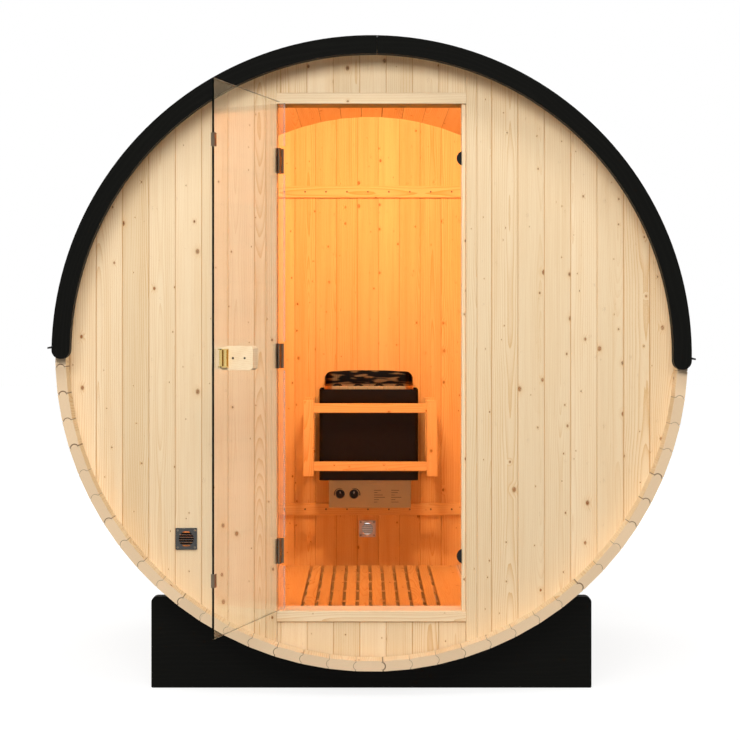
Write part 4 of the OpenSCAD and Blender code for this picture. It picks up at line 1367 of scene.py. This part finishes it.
class SAUNA_OT_heater_marks(bpy.types.Operator):
    """Printed scales round the heater's knobs, dashes beside them and the pale pointer lines on the knobs"""

    bl_idname = "sauna.heater_marks"
    bl_label = "Heater marks"

    def execute(self, context):
        h = HeaterPrint
        face = CONTROL_LO[1]
        prints = Lot()
        scales = (("thermostat_knob", "thermostat", (-105, 20), (1, 0)),
                  ("timer_knob", "timer", (-20, 105), (0, 1)))
        for node, body, sweep, growth in scales:
            low, high = span(node)
            x, _, z = (low + high) / 2
            angle = np.radians(np.linspace(*sweep, h.scale_points))
            inner = (high[0] - low[0]) / 2 + h.scale_gap
            outer = inner + h.scale_least + h.scale_growth * np.linspace(*growth, h.scale_points)

            def scale(depth):
                """Points of the inner and the outer arc, at a depth."""
                arcs = [(x + r * np.sin(angle), np.full(len(angle), depth), z + r * np.cos(angle))
                        for r in (inner, outer)]
                return np.transpose(arcs, (2, 0, 1))[::-1]

            prints.add(closed_sheet(scale(face - h.half), scale(face + h.half)))
            start = (x - h.pointer_half, low[1] - h.pointer_proud, z + h.pointer_from)
            stop = (x + h.pointer_half, low[1] + h.pointer_sunk, z + h.pointer_to)
            pointer = Lot().add(bar("Z", start, stop, h.ease))
            pointer.make(node + "_line", body, "steel", ["pointer white"])
        width, rise = CONTROL_HI[0] - CONTROL_LO[0], CONTROL_HI[2] - CONTROL_LO[2]
        draws = np.random.default_rng(context.scene.sauna_stage.seed).random((len(h.columns), h.rows))
        for column, shares in zip(h.columns, h.dash_least + h.dash_growth * draws):
            for row, share in enumerate(shares):
                height = CONTROL_LO[2] + (h.first_row + h.row_pitch * row) * rise
                low = np.array([CONTROL_LO[0] + column * width, face - h.half, height])
                prints.add(bar("X", low, low + (share * width, *h.dash_size), h.ease))
        prints.make("knob_scales", "cabin", "black_plastic", ["scale print"])
        return {"FINISHED"}


# How far a vent's screws keep from its sides, in metres
VENT_SCREW_INSET = 0.0065


class SAUNA_OT_fixings(bpy.types.Operator):
    """Screws in the corners of the two vents"""

    bl_idname = "sauna.fixings"
    bl_label = "Fixings"

    def execute(self, context):
        radius = context.scene.sauna_sizes.vent_screw
        screws = Lot()
        for node in ("front_vent", "back_vent"):
            low, high = span(node)
            x, _, z = (low + high) / 2
            reach = (high[0] - low[0]) / 2 - VENT_SCREW_INSET
            for dx in (-reach, reach):
                for dz in (-reach, reach):
                    screws.add(screw((x + dx, low[1], z + dz), (0, -1, 0), radius))
        screws.make("vent_screws", "cabin", "steel", ["nail steel"])
        return {"FINISHED"}


# Pieces in the cabin that the lights in front leave to the lamp
LAMP_LIT = (
    "back_boards", "battens", "batten_nails", "back_vent", "floor_boards", "floor_joists",
    "guard_posts_planed", "guard_front_rails_planed", "guard_side_rails_planed",
    "heater_case", "heater_shield", "heater_elements", "heater_control",
    "thermostat_knob", "timer_knob", "knob_scales")
# Place, aim, width and height in metres, and share of the key light's power
FRONT_LIGHTS = {
    "key_light": ((-0.5, -5.0, 3.0), (0.0, 0.2, 1.0), (3.2, 1.6), 1.0),
    "top_light": ((0.0, -2.8, 5.0), (0.0, -0.1, 0.8), (3.6, 1.6), 0.44),
}
OTHER_LIGHTS = {
    "back_light": ((0.0, 6.5, 4.2), (0.0, 1.0, 0.9), (4.5, 3.0), 1.2),
    "left_light": ((-5.5, 0.8, 3.2), (0.0, 0.7, 0.9), (4.0, 3.0), 0.75),
    "right_light": ((5.5, 0.8, 3.2), (0.0, 0.7, 0.9), (4.0, 3.0), 0.75),
}
CABIN_LAMP = ((0.0, 0.03, 1.80), (0.0, 1.5, 1.64), (0.30, 0.10))
LAMP_SPREAD = math.radians(150)
# The floor's grey, and how its brightness to the eye grows with the distance from the middle, in metres
FLOOR_GREY = (0.26, 0.26, 0.26)
FLOOR_NEAR, FLOOR_FAR, FLOOR_GLOW = 2.0, 6.0, 0.8
CAMERA_PLACE = (-0.019, -5.622, 1.06)
CAMERA_SHIFT = (0.00676, -0.0527)
SENSOR_WIDTH = 36.0


def area_light(name, place, aim, size, power, colour=WHITE):
    """An oblong light that looks from its place to its aim and that no camera or mirror sees."""
    light = bpy.data.lights.new(name, "AREA")
    light.shape = "RECTANGLE"
    light.size, light.size_y = size
    light.energy, light.color = power, colour
    lamp = bpy.data.objects.new(name, light)
    lamp.location = place
    way = Vector(aim) - Vector(place)
    lamp.rotation_euler = way.to_track_quat("-Z", "Y").to_euler()
    lamp.visible_camera = lamp.visible_glossy = False
    bpy.context.scene.collection.objects.link(lamp)
    return lamp


def pale_floor(size):
    """A square floor on the ground that takes shadows and is nearly white to the eye."""
    half = size / 2
    mesh = bpy.data.meshes.new("studio_floor")
    corners = [(-half, -half, 0), (half, -half, 0), (half, half, 0), (-half, half, 0)]
    mesh.from_pydata(corners, [], [(0, 1, 2, 3)])
    floor = bpy.data.objects.new("studio_floor", mesh)
    bpy.context.scene.collection.objects.link(floor)
    f = new_finish("pale floor")
    x, y, _ = f.vector_parts(f.place())
    near = f.ramp(f.distance(x, y), FLOOR_NEAR, FLOOR_FAR, FLOOR_GLOW, 1.0)
    matt = f.node("ShaderNodeBsdfDiffuse", {"Color": FLOOR_GREY})
    glow = f.node("ShaderNodeEmission", {"Color": WHITE, "Strength": f.times(f.seen(), near)})
    mesh.materials.append(f.done(f.node("ShaderNodeAddShader", {0: matt.outputs[0], 1: glow.outputs[0]})))


def white_world(ambient):
    """A world that is white to the eye and gives a little even light."""
    f = Finish(bpy.data.worlds.new("studio"), "ShaderNodeOutputWorld")
    even = f.node("ShaderNodeBackground", {"Color": WHITE, "Strength": ambient})
    white = f.node("ShaderNodeBackground", {"Color": WHITE, "Strength": 1.0})
    return f.done(f.node("ShaderNodeMixShader", {0: f.seen(), 1: even.outputs[0], 2: white.outputs[0]}))


class SAUNA_OT_stage(bpy.types.Operator):
    """Pale floor, soft light from above the front, the warm lamp in the cabin and the camera"""

    bl_idname = "sauna.stage"
    bl_label = "Stage"

    def execute(self, context):
        scene, p = context.scene, context.scene.sauna_stage
        pale_floor(p.floor_size)
        scene.world = white_world(p.ambient)

        kept_off = bpy.data.collections.new("lit by the lamp")
        for name in LAMP_LIT:
            kept_off.objects.link(frame["nodes"].get(name) or bpy.data.objects[name])
        for item in kept_off.collection_objects:
            item.light_linking.link_state = "EXCLUDE"
        for name, (place, aim, size, share) in FRONT_LIGHTS.items():
            lamp = area_light(name, place, aim, size, share * p.key_power)
            lamp.light_linking.receiver_collection = kept_off
        for name, (place, aim, size, share) in OTHER_LIGHTS.items():
            area_light(name, place, aim, size, share * p.key_power)
        lamp = area_light("cabin_lamp", *CABIN_LAMP, p.lamp_power, scene.sauna_colours.lamp)
        lamp.data.spread = LAMP_SPREAD

        camera = bpy.data.cameras.new("camera")
        camera.lens, camera.sensor_width, camera.sensor_fit = p.lens, SENSOR_WIDTH, "HORIZONTAL"
        camera.shift_x, camera.shift_y = CAMERA_SHIFT
        eye = bpy.data.objects.new("camera", camera)
        eye.location = CAMERA_PLACE
        eye.rotation_euler = (math.radians(90), 0.0, 0.0)
        scene.collection.objects.link(eye)
        scene.camera = eye
        scene.view_settings.view_transform = "Standard"
        return {"FINISHED"}


class SAUNA_PT_panel(bpy.types.Panel):
    """Lists the steps that dress the sauna"""

    bl_idname = "SAUNA_PT_panel"
    bl_label = "Barrel sauna"
    bl_space_type = "VIEW_3D"
    bl_region_type = "UI"
    bl_category = "Sauna"

    def draw(self, context):
        for step in STEPS:
            self.layout.operator(step.bl_idname)
        for name in GROUPS:
            group = getattr(context.scene, name)
            for setting in group.__annotations__:
                self.layout.prop(group, setting)


STEPS = (
    SAUNA_OT_finishes, SAUNA_OT_front_wall, SAUNA_OT_back_wall, SAUNA_OT_door_frame,
    SAUNA_OT_floor_boards, SAUNA_OT_heater_guard, SAUNA_OT_roof_shingles, SAUNA_OT_glass_door,
    SAUNA_OT_heater_marks, SAUNA_OT_fixings, SAUNA_OT_stage)
GROUPS = {"sauna_sizes": SaunaSizes, "sauna_colours": SaunaColours, "sauna_stage": SaunaStage}


def register():
    """Registers the groups of settings, the steps and the panel."""
    for cls in (*GROUPS.values(), *STEPS, SAUNA_PT_panel):
        bpy.utils.register_class(cls)
    for name, cls in GROUPS.items():
        setattr(bpy.types.Scene, name, PointerProperty(type=cls))


def unregister():
    """Takes away what register added."""
    for name in GROUPS:
        delattr(bpy.types.Scene, name)
    for cls in (SAUNA_PT_panel, *reversed(STEPS), *reversed(list(GROUPS.values()))):
        bpy.utils.unregister_class(cls)


def main():
    """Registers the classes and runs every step."""
    register()
    for step in STEPS:
        group, name = step.bl_idname.split(".")
        getattr(getattr(bpy.ops, group), name)()


if __name__ == "__main__":
    main()
